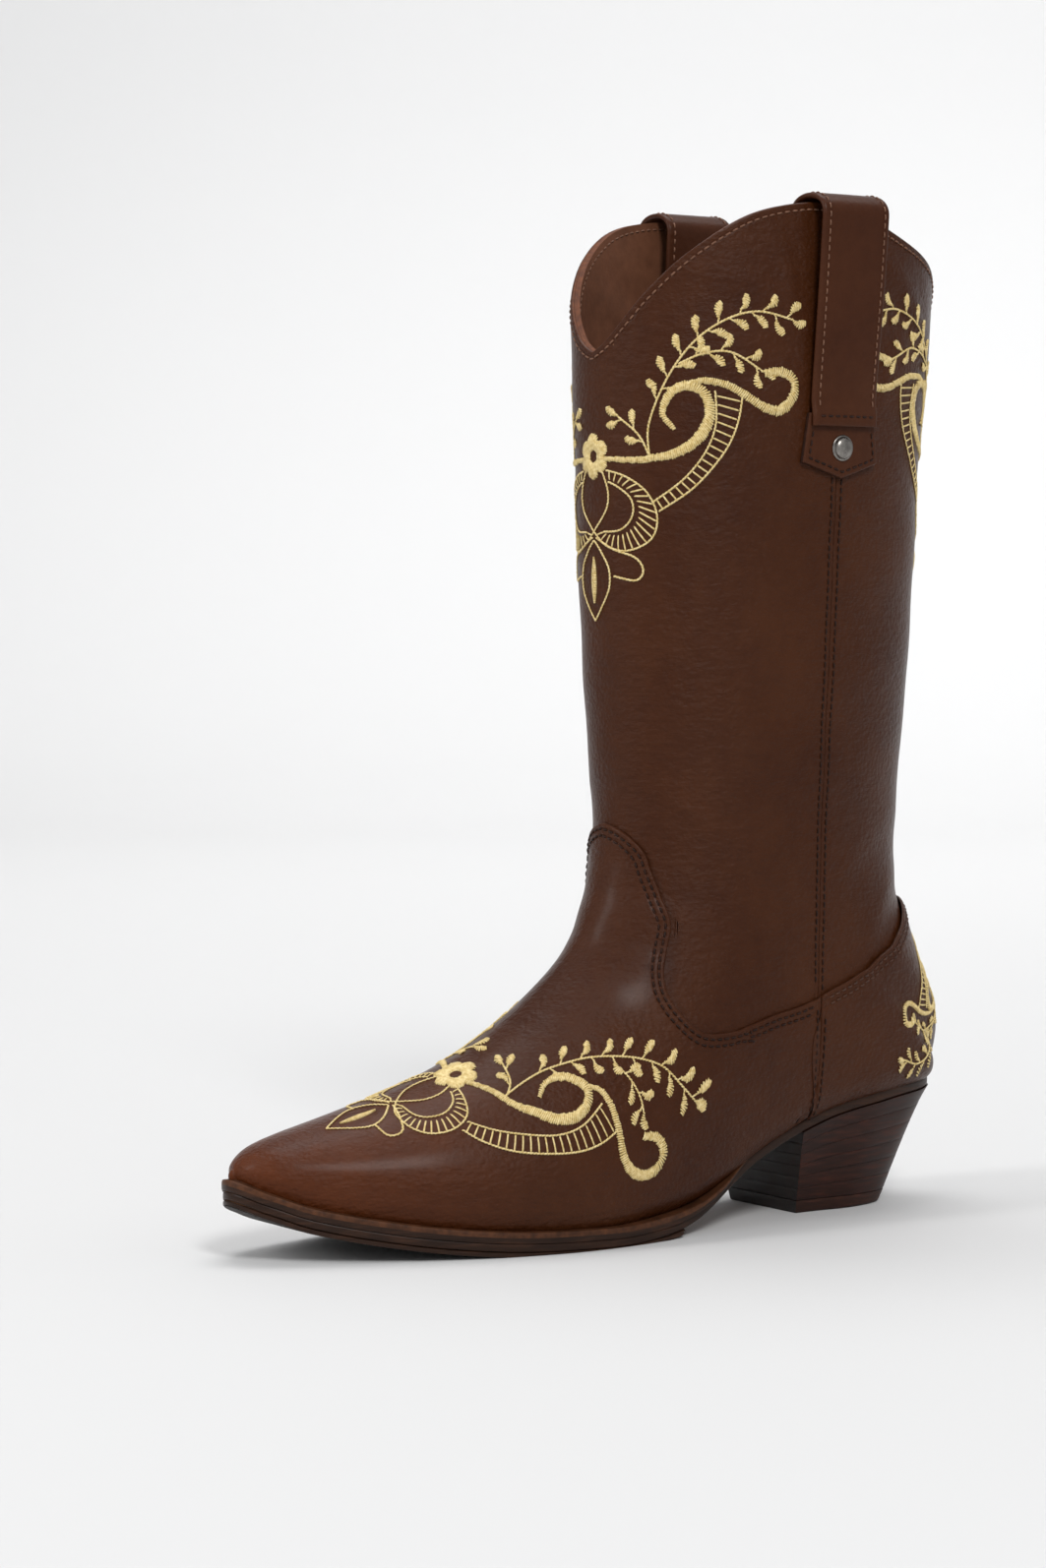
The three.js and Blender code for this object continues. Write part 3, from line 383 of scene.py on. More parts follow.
def moved_edge(rings, side, out_at, step):
    """One side of the upper's sole edge in plan, moved outwards by out_at(y)."""
    here = form(rings, side)
    along = form(np.minimum(rings + step, HEEL_RING), side) - form(np.maximum(rings - step, 0), side)
    outward = unit(np.stack([along[:, 1], -along[:, 0]], -1)) * side
    return here[:, :2] + outward * out_at(here[:, 1])[:, None]


def edges_at(out):
    """Both sides of the sole edge, moved outwards by a distance, as a function from y to their x."""
    sides = []
    for side in (-1, 1):
        x, y = moved_edge(SOLE_RINGS, side, even(out), 0.1).T
        sides.append((np.maximum.accumulate([TIP_Y - out, *y, HEEL_BACK_Y + out]), [TIP_X, *x, HEEL_BACK_X]))
    return lambda y: [np.interp(y, *side) for side in sides]


def welt_top(y):
    ys = np.concatenate([[SOLE_LINE[2][0] - 6], SOLE_LINE[2]])
    zs = np.concatenate([[SOLE_LINE[3][0] + 3], SOLE_LINE[3]]) - UPPER_LIP
    return np.interp(y, ys, zs)


def welt_rise(y):
    return WELT["rise"] * (1 - smooth(WELT["rise_from"], WELT["rise_to"], y))


def welt_thickness(y):
    return WELT["thick"] * (1 - smooth(WELT["skive_from"], WELT["skive_to"], y))


def outsole_top(y):
    return welt_top(y) - welt_thickness(y) - 1.5 * GAP


def outsole_bottom(y):
    thickness = lerp(OUTSOLE["forepart"], OUTSOLE["heel"], smooth(WELT["skive_from"], WELT["skive_to"], y))
    return outsole_top(y) - thickness


def place(t, around, depth, lip=False):
    """Points at a depth from the form. With lip, the lowest part of the layer is drawn down to the welt and
    tucked in behind it, more so at the waist, where the upper stands back from the sole."""
    surface = form(t, around)
    normal = form_normal(t, around)
    points = surface + normal * (depth + relief(surface))[..., None]
    if lip:
        y = surface[..., 1]
        above_edge = points[..., 2] - welt_top(y) - UPPER_LIP
        open_waist = smooth(*LIP["opens"], y) * (1 - smooth(*LIP["closes"], y))
        tuck = unit(normal * [1, 1, 0]) * (1 - smooth(*LIP["tuck_over"], above_edge))[..., None]
        drop = UPPER_LIP - 0.1 - welt_rise(y) - LIP["open_lift"] * open_waist
        points[..., 2] -= drop * (1 - smooth(0, LIP["height"], above_edge))
        points -= (LIP["tuck"] + LIP["open_tuck"] * open_waist)[..., None] * tuck
    return points


# ------------------------------------------------------------------ meshes

def grid_quads(rows, columns, offset=0):
    index = np.arange(rows * columns).reshape(rows, columns) + offset
    return np.stack([index[:-1, :-1], index[:-1, 1:], index[1:, 1:], index[1:, :-1]], -1).reshape(-1, 4)


def strip_quads(first, second):
    """Quads between two lines of point numbers."""
    first, second = np.asarray(first), np.asarray(second)
    return np.stack([first[:-1], first[1:], second[1:], second[:-1]], -1)


def add_piece(name, points, quads, materials, body="root", sharp=40, rim=None):
    """A mesh from points in millimetres on the form's axes. rim marks the quads that take the second
    material."""
    points = (np.asarray(points, float).reshape(-1, 3) + SHIFT) * MM
    quads = np.asarray(quads)
    centre = points.mean(0)
    a, b, c, d = (points[quads[:, k]] - centre for k in range(4))
    volume = np.einsum("ij,ij->", a, np.cross(b, c)) + np.einsum("ij,ij->", a, np.cross(c, d))
    if volume < 0:
        quads = quads[:, ::-1]
    faces = [tuple(dict.fromkeys(face)) for face in quads.tolist()]
    kept = [k for k, face in enumerate(faces) if len(face) > 2]
    mesh = bpy.data.meshes.new(name)
    mesh.from_pydata(points.tolist(), [], [faces[k] for k in kept])
    for material in materials:
        mesh.materials.append(material)
    if rim is not None:
        mesh.polygons.foreach_set("material_index", np.asarray(rim)[kept].astype(np.int32))
    mesh.validate()
    mesh.shade_smooth()
    mesh.set_sharp_from_angle(angle=math.radians(sharp))
    piece = bpy.data.objects.new(name, mesh)
    bpy.context.scene.collection.objects.link(piece)
    if body:
        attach(piece, body)
    return piece


def shell(outer, inner):
    """A closed sheet from its two faces, each a grid of points. The rim's quads come last."""
    rows, columns = outer.shape[:2]
    count = rows * columns
    top = grid_quads(rows, columns)
    under = grid_quads(rows, columns, count)[:, ::-1]
    index = np.arange(count).reshape(rows, columns)
    border = np.concatenate([index[0], index[1:, -1], index[-1, -2::-1], index[-2::-1, 0]])
    rim = strip_quads(border, border + count)[:, ::-1]
    marks = np.concatenate([np.zeros(len(top) + len(under)), np.ones(len(rim))])
    points = np.concatenate([outer.reshape(-1, 3), inner.reshape(-1, 3)])
    return points, np.concatenate([top, under, rim]), marks


def tube_quads(count, around):
    """Quads between closed loops of points, one after another, and the numbers of each loop's points."""
    index = np.arange(count * around).reshape(count, around)
    wrapped = np.concatenate([index, index[:, :1]], 1)
    return np.concatenate([strip_quads(*wrapped[k:k + 2]) for k in range(count - 1)]), wrapped


def loft(sections):
    """A closed body from closed loops of points, with a fan at each end."""
    count, around = sections.shape[:2]
    walls, wrapped = tube_quads(count, around)
    points = sections.reshape(-1, 3)
    ends = []
    for row, way in ((0, 1), (count - 1, -1)):
        centre = np.full(around, len(points))
        points = np.vstack([points, sections[row].mean(0)])
        ends.append(np.stack([centre, wrapped[row][1:], wrapped[row][:-1], centre], -1)[:, ::way])
    return points, np.concatenate([walls, *ends])


def edge_height(distance, rows, radius=0.8, groove=0.2):
    """The profile of an edge over the distance from it: a rounded rim, and a groove under each row of
    stitches."""
    share = np.clip(distance / radius, 0, 1)
    height = radius * (np.sqrt(1 - (1 - share) ** 2) - 1)
    for row in rows:
        height = height - groove * np.exp(-((distance - row) / 0.38) ** 2)
    return height


# Distances from its edge at which a panel has a line of points.
EDGE_STEPS = np.array([7.5, 6.4, 5.5, 5.0, 4.7, 4.4, 4.1, 3.8, 3.3, 2.9, 2.6, 2.3, 2.0, 1.7, 1.35, 1.0,
                       0.7, 0.45, 0.25, 0.1, 0.0])


class Panel:
    """A part of the upper, as a map from (across, up) to (ring, place round it), with up = 1 on its edge."""

    STEP = 0.004  # in up, for slopes at the edge
    SMALL = 0.002  # in rings and places round them, for slopes of the form
    FAR = 99.0  # a distance at which an edge no longer shows

    def __init__(self, where, rows):
        self.where, self.rows = where, rows

    def edge(self, across):
        """The drawn edge as (ring, place round it) and as points, and the way its columns leave it."""
        t, around = self.where(across, np.ones_like(across))
        edge = form(t, around)
        return t, around, edge, form(*self.where(across, np.full_like(across, 1 - self.STEP))) - edge

    def band(self, across, distances):
        """Places on the form at distances inwards from the drawn edge, one line for each distance."""
        t, around, edge, column = self.edge(across)
        tangent = unit(np.gradient(edge, axis=0))
        square = unit(np.cross(form_normal(t, around), tangent))
        square *= np.sign(np.einsum("ij,ij->", square, column))
        column = unit(column)
        slant = np.maximum(dot(square, column), 0.5)[:, None]
        inward = lerp(square, column / slant, (np.abs(across) ** 30)[:, None])
        way_t = (edge - form(t - self.SMALL, around)) / self.SMALL
        back = around - np.sign(around) * self.SMALL
        way_a = (edge - form(t, back)) / (around - back + (around == back))[:, None]
        way_a[around == 0] = ((form(t, around + self.SMALL) - edge) / self.SMALL)[around == 0]
        tt, ta, aa = dot(way_t, way_t), dot(way_t, way_a), dot(way_a, way_a)
        to_t, to_a = dot(way_t, inward), dot(way_a, inward)
        scale = np.maximum(tt * aa - ta * ta, 1e-6)
        step_t, step_a = (to_t * aa - to_a * ta) / scale, (to_a * tt - to_t * ta) / scale
        return t + np.outer(distances, step_t), np.clip(around + np.outer(distances, step_a), -1, 1)

    def grid(self, across, count, ease=1.0):
        """The panel's points as (ring, place round it), and the height of its face over its depth."""
        band_t, band_a = self.band(across, EDGE_STEPS)
        speed = np.linalg.norm(self.edge(across)[3], axis=-1) / self.STEP
        last = 1 - EDGE_STEPS[0] / np.maximum(speed, 5 * EDGE_STEPS[0])
        share = np.linspace(0, 1, count, endpoint=False)[:, None] ** ease
        t, around = self.where(np.broadcast_to(across, (count, len(across))), share * last)
        last_t, last_a = self.where(across, last)
        pull = share ** 2.5
        t = np.concatenate([t + pull * (band_t[0] - last_t), band_t])
        around = np.concatenate([around + pull * (band_a[0] - last_a), band_a])
        distance = np.concatenate([np.full(count, self.FAR), EDGE_STEPS])[:, None] + 0 * across
        seam = np.abs(np.abs(around) - seam_around(t)) * ring_speed(t, around)
        seam_height = edge_height(seam, (SEAM_ROW,), radius=0.9)
        return t, around, edge_height(distance, self.rows) + smooth(*SEAM_SHOWS, t) * seam_height


def between(start, end, around):
    """The map of a panel whose columns run from one outline to another."""
    def where(across, up):
        t = lerp(start(across), end(across), up)
        return t, around(across, t)
    return where


def vamp_where(across, up):
    """Columns run from the toe to the vamp's edge. The last one follows the sole edge and the side seam."""
    side = np.abs(across)
    edge_around, edge_ring = vamp_line(side)
    t = edge_ring * up
    junction = seam_around(SEAM_JUNCTION)
    true_reach = seam_around(t, -GAP / 2) / seam_around(SEAM_JUNCTION, -GAP / 2)
    soft_reach = 1 + (1 / junction - 1) * (1 - smooth(8.8, 11.9, t))
    last = side ** 40
    reach = lerp(soft_reach, true_reach, last)
    keep = 1 - up ** 3 * (1 - last)
    inset = lerp(1, seam_around(SEAM_JUNCTION, -GAP / 2) / junction, last)
    return t, np.sign(across) * np.minimum(edge_around * inset * (1 + (reach - 1) * keep), 1)


def heel_where(across, up):
    """Columns run from the sole edge to the counter's edge: along the seam at the sides, and up the back."""
    side = np.abs(across)
    first_ring = seam_ring(np.array(1 - 1e-6), GAP / 2)
    junction_around = seam_around(SEAM_JUNCTION, GAP / 2)
    top_around, top_ring = counter_line(side)
    top_around = top_around + side ** 40 * (junction_around - seam_around(SEAM_JUNCTION))
    sole = lerp(HEEL_RING, first_ring, side)
    along_seam = seam_ring(lerp(1, junction_around, up), GAP / 2)
    on_seam = np.clip((along_seam - first_ring) / (SEAM_JUNCTION - first_ring), 0, 1)
    rise = lerp(up, on_seam, side ** 3)
    return lerp(sole, top_ring, rise), np.where(across < 0, -1, 1) * lerp(1, top_around, up)


def columns_along(where, spacing, dense):
    """Places across a panel that are evenly spaced along its drawn edge, and closer to each other over the
    last share of it, near the side seams."""
    across = np.linspace(0, 1, 1501)
    length = arc_length(form(*where(across, np.ones_like(across))))
    count = int(length[-1] / spacing)
    half = np.interp(np.linspace(0, length[-1], count + 1), length, across)
    half = np.concatenate([half[half < 1 - dense], np.linspace(1 - dense, 1, 24)])
    return np.concatenate([-half[:0:-1], half])


shaft_front_where = between(lambda across: vamp_edge(across) - LAP_RINGS, front_topline, front_around)
shaft_back_where = between(lambda across: counter_edge(across) - LAP_RINGS, back_topline, back_around)
panels = {
    "vamp": Panel(vamp_where, EDGE_ROWS), "heel_counter": Panel(heel_where, EDGE_ROWS),
    "shaft_front": Panel(shaft_front_where, (TOP_ROW,)), "shaft_back": Panel(shaft_back_where, (TOP_ROW,)),
}


def toe_cap(grid, length, steps=6):
    """Closes the narrow front end of a toe-shaped grid with a rounded nose."""
    ring = grid[0]
    centre = ring.mean(0)
    angles = [(PI / 2) * k / steps for k in range(steps)]
    nose = [centre + (ring - centre) * math.sin(angle) + np.array([0, -length * math.cos(angle), 0])
            for angle in angles]
    return np.concatenate([np.array(nose), grid])


def add_sheet(name, t, around, depths, materials, lip=False, noses=None):
    """A sheet of leather between two depths from the form, in place of the CAD node of its name."""
    outer, inner = (place(t, around, depth, lip) for depth in depths)
    if noses:
        outer, inner = toe_cap(outer, noses[0]), toe_cap(inner, noses[1])
    points, quads, rim = shell(outer, inner)
    piece = add_piece(name + "_leather", points, quads, materials, rim=rim)
    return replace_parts(piece, name)


def build_panel(name, depths, columns, count, materials, ease=1.0, lip=False, noses=None):
    t, around, height = panels[name].grid(columns, count, ease)
    depths = depths[0] + height, depths[1] + 0 * height
    add_sheet(name, t, around, depths, materials, lip, noses)


def lining_panel(name, where, depths, count, materials, noses=None):
    t, around = where(*np.meshgrid(np.linspace(-1, 1, 141), np.linspace(0, 1, count)))
    add_sheet(name, t, around, [depth + 0 * t for depth in depths], materials, noses=noses)


# ------------------------------------------------------------------ materials

def linear(tint):
    """A linear colour from the 0-255 numbers of a display colour."""
    return tuple((c / 255 / 12.92) if c < 10.3 else ((c / 255 + 0.055) / 1.055) ** 2.4 for c in tint)


class Look:
    """A material with one principled shader, and the nodes that feed it."""

    def __init__(self, name):
        self.material = bpy.data.materials.new(name)
        self.material.use_nodes = True
        self.nodes, self.links = self.material.node_tree.nodes, self.material.node_tree.links
        self.nodes.clear()
        output = self.node("ShaderNodeOutputMaterial")
        self.shader = self.node("ShaderNodeBsdfPrincipled")
        self.wire(output, feeds={"Surface": self.shader.outputs[0]})
        self.where = self.node("ShaderNodeTexCoord").outputs["Object"]

    def wire(self, node, values={}, feeds={}):
        """Sets inputs of a node to constant values, and feeds others from other nodes."""
        for socket, value in values.items():
            node.inputs[socket].default_value = value
        for socket, source in feeds.items():
            self.links.new(source, node.inputs[socket])
        return node

    def node(self, kind, values={}, feeds={}, **settings):
        node = self.nodes.new(kind)
        for key, value in settings.items():
            setattr(node, key, value)
        return self.wire(node, values, feeds)

    def noise(self, scale, detail=3.0, rough=0.55, stretch=None):
        where = self.where
        if stretch:
            where = self.node("ShaderNodeMapping", {"Scale": stretch}, {"Vector": where}).outputs[0]
        values = {"Scale": scale, "Detail": detail, "Roughness": rough}
        return self.node("ShaderNodeTexNoise", values, {"Vector": where}).outputs[0]

    def ramp(self, source, stops):
        """A colour ramp from (place, display colour) stops."""
        node = self.node("ShaderNodeValToRGB", feeds={0: source})
        elements = node.color_ramp.elements
        while len(elements) < len(stops):
            elements.new(0.5)
        for element, (position, tint) in zip(elements, stops):
            element.position = position
            element.color = (*linear(tint), 1)
        return node.outputs[0]

    def spread(self, source, low, high, from_low=0.3, from_high=0.7):
        values = {"From Min": from_low, "From Max": from_high, "To Min": low, "To Max": high}
        return self.node("ShaderNodeMapRange", values, {"Value": source}).outputs[0]

    def add(self, first, second, share=1.0):
        """The first height or tone, and a share of the second."""
        feeds = {0: second, 2: first}
        return self.node("ShaderNodeMath", {1: share}, feeds, operation="MULTIPLY_ADD").outputs[0]

    def finish(self, feeds, constants, height, relief_mm):
        """Feeds sockets of the shader and a bump, and sets others to constant values."""
        bump = self.node("ShaderNodeBump", {"Strength": 1.0, "Distance": relief_mm * MM}, {"Height": height})
        self.wire(self.shader, constants, {"Normal": bump.outputs[0], **feeds})
        return self.material


def leather(name, shades, rough, grain, wrinkle, coat, specular, toe=None):
    """Leather with a pebbled grain and fine creases. toe gives paler shades that take over towards the toe."""
    look = Look(name)
    patches, fine = look.noise(16, 4, 0.6), look.noise(210, 4, 0.65)
    tone = look.add(patches, fine, 0.35)
    base = look.ramp(tone, list(zip((0.42, 0.62, 0.86), shades)))
    if toe:
        # Paler shades towards the toe, blended in as y falls from -0.055 m to -0.15 m.
        axes = look.node("ShaderNodeSeparateXYZ", feeds={0: look.where})
        front = look.spread(axes.outputs[1], 1, 0, -0.15, -0.055)
        toe_tone = look.ramp(tone, list(zip((0.42, 0.86), toe)))
        mixed = look.node("ShaderNodeMix", {}, {"Factor": front, "A": base, "B": toe_tone}, data_type="RGBA")
        base = mixed.outputs["Result"]
    pebble = look.node("ShaderNodeTexVoronoi", {"Scale": 620, "Randomness": 1}, {"Vector": look.where},
                       feature="SMOOTH_F1")
    height = look.add(pebble.outputs["Distance"], look.noise(120, 6, 0.66, (1, 1, 3.2)), wrinkle / grain)
    height = look.add(height, look.noise(1400, 2, 0.5), 0.3)
    feeds = {"Base Color": base, "Roughness": look.spread(look.add(patches, fine, 0.6), *rough, 0.5, 1.1)}
    constants = {"Specular IOR Level": specular, "Coat Weight": coat, "Coat Roughness": 0.22}
    return look.finish(feeds, constants, height, grain)


def plain(name, dark, light, rough=0.6, scale=60, stretch=None, grain=0.05, metal=0.0, specular=0.4):
    look = Look(name)
    source = look.noise(scale, 4, 0.6, stretch)
    feeds = {"Base Color": look.ramp(source, [(0.35, dark), (0.65, light)]),
             "Roughness": look.spread(source, rough - 0.07, rough + 0.07)}
    return look.finish(feeds, {"Metallic": metal, "Specular IOR Level": specular}, source, grain)


def layered(name, stops, spacing, rough, grain):
    """Leather in layers, seen on its edge: bands in height that waver a little."""
    look = Look(name)
    fine = look.noise(1 / spacing, 5, 0.65, (0.1, 0.1, 1))
    tone = look.add(fine, look.noise(40, 3, 0.5), 0.45)
    feeds = {"Base Color": look.ramp(tone, stops), "Roughness": look.spread(fine, *rough)}
    constants = {"Coat Weight": 0.1, "Coat Roughness": 0.35, "Specular IOR Level": 0.12}
    return look.finish(feeds, constants, fine, grain)


upper_leather = leather("upper_leather", [(52, 23, 8), (60, 29, 11), (68, 35, 15)], (0.27, 0.38), grain=0.3,
                        wrinkle=0.8, coat=0.06, specular=0.11, toe=[(60, 26, 10), (88, 43, 18)])
strap_leather = leather("strap_leather", [(54, 27, 14), (62, 32, 17), (70, 38, 21)], (0.36, 0.46), grain=0.1,
                        wrinkle=0.12, coat=0.05, specular=0.1)
lining_leather = leather("lining_leather", [(72, 43, 29), (96, 60, 41), (116, 74, 52)], (0.5, 0.65),
                         grain=0.05, wrinkle=0.08, coat=0.0, specular=0.2)
sock_leather = leather("sock_leather", [(86, 55, 36), (110, 72, 48), (132, 90, 62)], (0.5, 0.68), grain=0.06,
                       wrinkle=0.06, coat=0.0, specular=0.3)
cut_edge = plain("cut_leather_edge", (34, 17, 10), (54, 28, 16), 0.7, 300, specular=0.2)
top_edge = plain("topline_edge", (78, 45, 30), (108, 66, 45), 0.75, 400, grain=0.12, specular=0.2)
sole_edge = layered("sole_edge", [(0.45, (30, 18, 12)), (0.75, (45, 28, 19)), (0.95, (64, 40, 27))],
                    0.0016, (0.36, 0.5), 0.06)
heel_stack = layered("stacked_heel", [(0.45, (30, 16, 12)), (0.72, (42, 22, 16)), (0.95, (66, 34, 24))],
                     0.0014, (0.36, 0.5), 0.03)
top_piece = layered("heel_top_piece", [(0.45, (36, 21, 16)), (0.75, (50, 29, 22)), (0.95, (74, 42, 31))],
                    0.0014, (0.45, 0.6), 0.03)
welt_top_leather = plain("welt_top", (52, 30, 18), (84, 50, 30), 0.5, 120, grain=0.08, specular=0.15)
welt_line = plain("welt_line", (56, 32, 18), (84, 50, 29), 0.5, 300, specular=0.2)
bottom_leather = plain("sole_bottom", (92, 62, 42), (128, 90, 62), 0.6, 90, grain=0.06)
breast_face = plain("heel_breast", (20, 13, 11), (32, 21, 17), 0.55, 200)
tread = plain("tread_rubber", (30, 24, 21), (48, 38, 32), 0.65, 260, grain=0.1)
gold = plain("gold_thread", (196, 168, 102), (232, 212, 156), 0.42, 900, grain=0.03)
dark_thread = plain("dark_thread", (26, 13, 8), (48, 25, 15), 0.6, 900, grain=0.04, specular=0.2)
brown_thread = plain("brown_thread", (54, 30, 18), (84, 50, 31), 0.6, 900, grain=0.04)
tan_thread = plain("tan_thread", (92, 60, 42), (122, 84, 62), 0.6, 900, grain=0.04)
gunmetal = plain("gunmetal", (118, 114, 110), (150, 146, 140), 0.32, 500, grain=0.01, metal=1.0)
board = plain("fibreboard", (120, 92, 64), (150, 118, 84), 0.8, 500)
cork = plain("cork", (120, 84, 50), (176, 134, 88), 0.85, 700, grain=0.3)
steel = plain("steel", (130, 130, 132), (165, 165, 168), 0.35, 300, (1, 0.1, 1), 0.01, metal=1.0)


# ------------------------------------------------------------------ camera

# Millimetres and degrees: where the camera stands round the boot, and how far it looks past the middle.
CAMERA = {"azimuth": 52.2, "distance": 1438.8, "height": 228.3, "yaw": 3.5, "pitch": 2.8, "lens": 88.9}


def add_camera():
    data = bpy.data.cameras.new("camera")
    data.lens = CAMERA["lens"]
    data.sensor_width = 36
    data.clip_end = 50
    camera = bpy.data.objects.new("camera", data)
    bpy.context.scene.collection.objects.link(camera)
    bpy.context.scene.camera = camera
    azimuth, yaw, pitch = (math.radians(CAMERA[key]) for key in ("azimuth", "yaw", "pitch"))
    look = azimuth + yaw
    at = np.array([CAMERA["distance"] * math.sin(azimuth), -CAMERA["distance"] * math.cos(azimuth),
                   CAMERA["height"]])
    camera.location = Vector(((at + SHIFT) * MM).tolist())
    forward = Vector((-math.sin(look) * math.cos(pitch), math.cos(look) * math.cos(pitch), -math.sin(pitch)))
    camera.rotation_euler = forward.to_track_quat("-Z", "Y").to_euler()


add_camera()


# ------------------------------------------------------------------ the upper

COLUMNS = {name: columns_along(panels[name].where, spacing, dense) for name, spacing, dense in (
    ("vamp", 1.15, 0.04), ("shaft_front", 1.0, 0.04), ("shaft_back", 1.0, 0.04), ("heel_counter", 1.1, 0.03))}

build_panel("vamp", VAMP, COLUMNS["vamp"], 170, [upper_leather, cut_edge], lip=True, noses=(2.2, 1.0))
build_panel("heel_counter", COUNTER, COLUMNS["heel_counter"], 110, [upper_leather, cut_edge], lip=True)
for name in ("shaft_front", "shaft_back"):
    build_panel(name, SHAFT, COLUMNS[name], 190, [upper_leather, top_edge], ease=1.1)

LINING_SPLIT = 10.5  # the ring at which the vamp's lining meets the shaft's on the front line


def lining_start(across):
    return LINING_SPLIT + (SEAM_JUNCTION - LINING_SPLIT) * np.abs(across) ** 6


lining_panel("vamp_lining", between(lambda a: 1.1 + 0 * a, lambda a: lining_start(a) - 0.03, front_around),
             VAMP_LINING, 70, [lining_leather], noses=(1.0, 0.5))
lining_panel("shaft_lining_front", between(lambda a: lining_start(a) + 0.03, front_topline, front_around),
             SHAFT_LINING, 110, [lining_leather, top_edge])
lining_panel("shaft_lining_back", between(lambda a: counter_edge(a) + 0.08, back_topline, back_around),
             SHAFT_LINING, 90, [lining_leather, top_edge])
lining_panel("heel_lining", lambda across, up: heel_where(across, 0.98 * up), HEEL_LINING, 60,
             [lining_leather])


# ------------------------------------------------------------------ the bottom

def resample(line, spacing):
    """The same line with evenly spaced points."""
    length = arc_length(line)
    return along_line(np.linspace(0, length[-1], max(int(length[-1] / spacing), 2) + 1), length, line)


def edge_loop(out_at, back, spacing, straight_back=False):
    """Once round a piece whose sides stand out_at(y) from the upper's edge, with its corners eased: up the
    medial side from its back end, round the toe and down the lateral side."""
    medial, lateral = (moved_edge(LOOP_RINGS, side, out_at, 0.05) for side in (-1, 1))
    tip, heel = [[TIP_X, TIP_Y - out_at(TIP_Y)]], [[HEEL_BACK_X, HEEL_BACK_Y + out_at(HEEL_BACK_Y)]]
    loop = np.concatenate([heel, medial[::-1], tip, lateral, heel])
    loop = loop[loop[:, 1] <= back]
    if straight_back:
        loop = np.vstack([loop, loop[:1]])
    points = resample(loop, spacing)
    for _ in range(4):
        points[1:-1] = 0.25 * points[:-2] + 0.5 * points[1:-1] + 0.25 * points[2:]
    return resample(points, spacing)


def outward_of(loop):
    """Directions out of a loop in plan."""
    outward = unit(np.stack([np.gradient(loop[:, 1]), -np.gradient(loop[:, 0])], -1))
    return outward * np.sign(np.einsum("ij,ij->", outward, loop - loop.mean(0)))


upper_edges = edges_at(0)
MIDDLE_END = 12  # the middle line ends this far before a straight back edge
# The wall of a sole layer as (how far out, share of its thickness).
ROUND_EDGE = [(-0.9, 0.0), (-0.35, 0.04), (-0.08, 0.14), (0, 0.3), (0, 0.5), (0, 0.7), (-0.06, 0.86),
              (-0.3, 0.96), (-0.9, 1.0)]


def flat_piece(name, out_at, back, top, under, materials, straight_back=False):
    """A layer of the sole, bent along the foot: a rounded wall, and two faces that close towards its middle
    line. The materials are for the upper face, the wall and the lower face."""
    loop = edge_loop(out_at, back, 1.2, straight_back)
    y = np.minimum(loop[:, 1], back - MIDDLE_END)
    left, right = upper_edges(y)
    inner = np.stack([(left + right) / 2, y], -1)
    high, low = top(loop[:, 1]), under(loop[:, 1])
    face = [lerp(inner, loop, share) for share in (0.0, 0.5, 0.85)]
    outward = outward_of(loop)
    rows = [np.column_stack([flat, top(flat[:, 1])]) for flat in face]
    rows += [np.column_stack([loop + outward * out, lerp(high, low, drop)]) for out, drop in ROUND_EDGE]
    rows += [np.column_stack([flat, under(flat[:, 1])]) for flat in face[::-1]]
    marks = np.ones(len(rows) - 1)
    marks[:3], marks[-3:] = 0, 2
    return add_piece(name + "_shaped", np.array(rows), grid_quads(len(rows), len(loop)), materials,
                     rim=np.repeat(marks, len(loop) - 1), sharp=35)


def outsole_out(y):
    return lerp(OUTSOLE["out"], OUTSOLE["waist_out"], smooth(OUTSOLE["waist_from"], OUTSOLE["waist_to"], y))


def half_sole_top(y):
    return outsole_bottom(y) - GAP / 2


outsole = flat_piece("outsole", outsole_out, math.inf, outsole_top, outsole_bottom,
                     [bottom_leather, sole_edge, bottom_leather])
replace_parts(outsole, "outsole")

half_sole = flat_piece("half_sole", even(OUTSOLE["out"]), HALF_SOLE["end"], half_sole_top,
                       lambda y: np.maximum(half_sole_top(y) - HALF_SOLE["thick"], 0),
                       [tread, sole_edge, tread], straight_back=True)
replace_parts(half_sole, "half_sole")

# The welt's section as (how far out, share of its thickness).
WELT_SECTION = [(-9, 0), (-4, 0), (-2.2, 0), (-1.5, 0.02), (-0.75, 0.02), (-0.2, 0.06), (0, 0.22),
                (0.02, 0.5), (0, 0.78), (-0.25, 0.98), (-1, 1), (-4, 1), (-9, 1), (-9, 0)]


def add_welt():
    """A strip round the forepart with a rounded outer edge, skived thin towards the waist."""
    back = RINGS[WELT["last_ring"]][2]
    loop = edge_loop(even(WELT["out"]), back, 1.0)
    y, count = loop[:, 1], len(loop)
    outward = outward_of(loop)
    fade = smooth(back - 4, back - 22, y)[:, None]
    thick = np.maximum(welt_thickness(y), 0.3) + 0.4 + welt_rise(y)
    top = welt_top(y) + welt_rise(y) - 0.12
    rows = []
    for out, drop in WELT_SECTION:
        flat = loop + outward * (out * lerp(0.3, 1, fade) - 2.6 * (1 - fade))
        rows.append(np.column_stack([flat, top - thick * drop]))
    marks = np.repeat([0, 0, 0, 0, 1, 1, 1, 2, 2, 2, 2, 2, 2], count - 1)  # upper face, wall and lower face
    ends = np.arange(len(rows) - 1) * count
    caps = np.array([[ends[k], ends[k + 1], ends[-2 - k], ends[-1 - k]] for k in range(6)])
    quads = np.concatenate([grid_quads(len(rows), count), caps, (caps + count - 1)[:, ::-1]])
    piece = add_piece("welt_shaped", rows, quads, [welt_top_leather, welt_line, sole_edge],
                      rim=np.concatenate([marks, np.full(2 * len(caps), 2)]), sharp=50)
    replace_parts(piece, "welt")


add_welt()


# ------------------------------------------------------------------ the heel

seat_edges = edges_at(HEEL["back_out"])
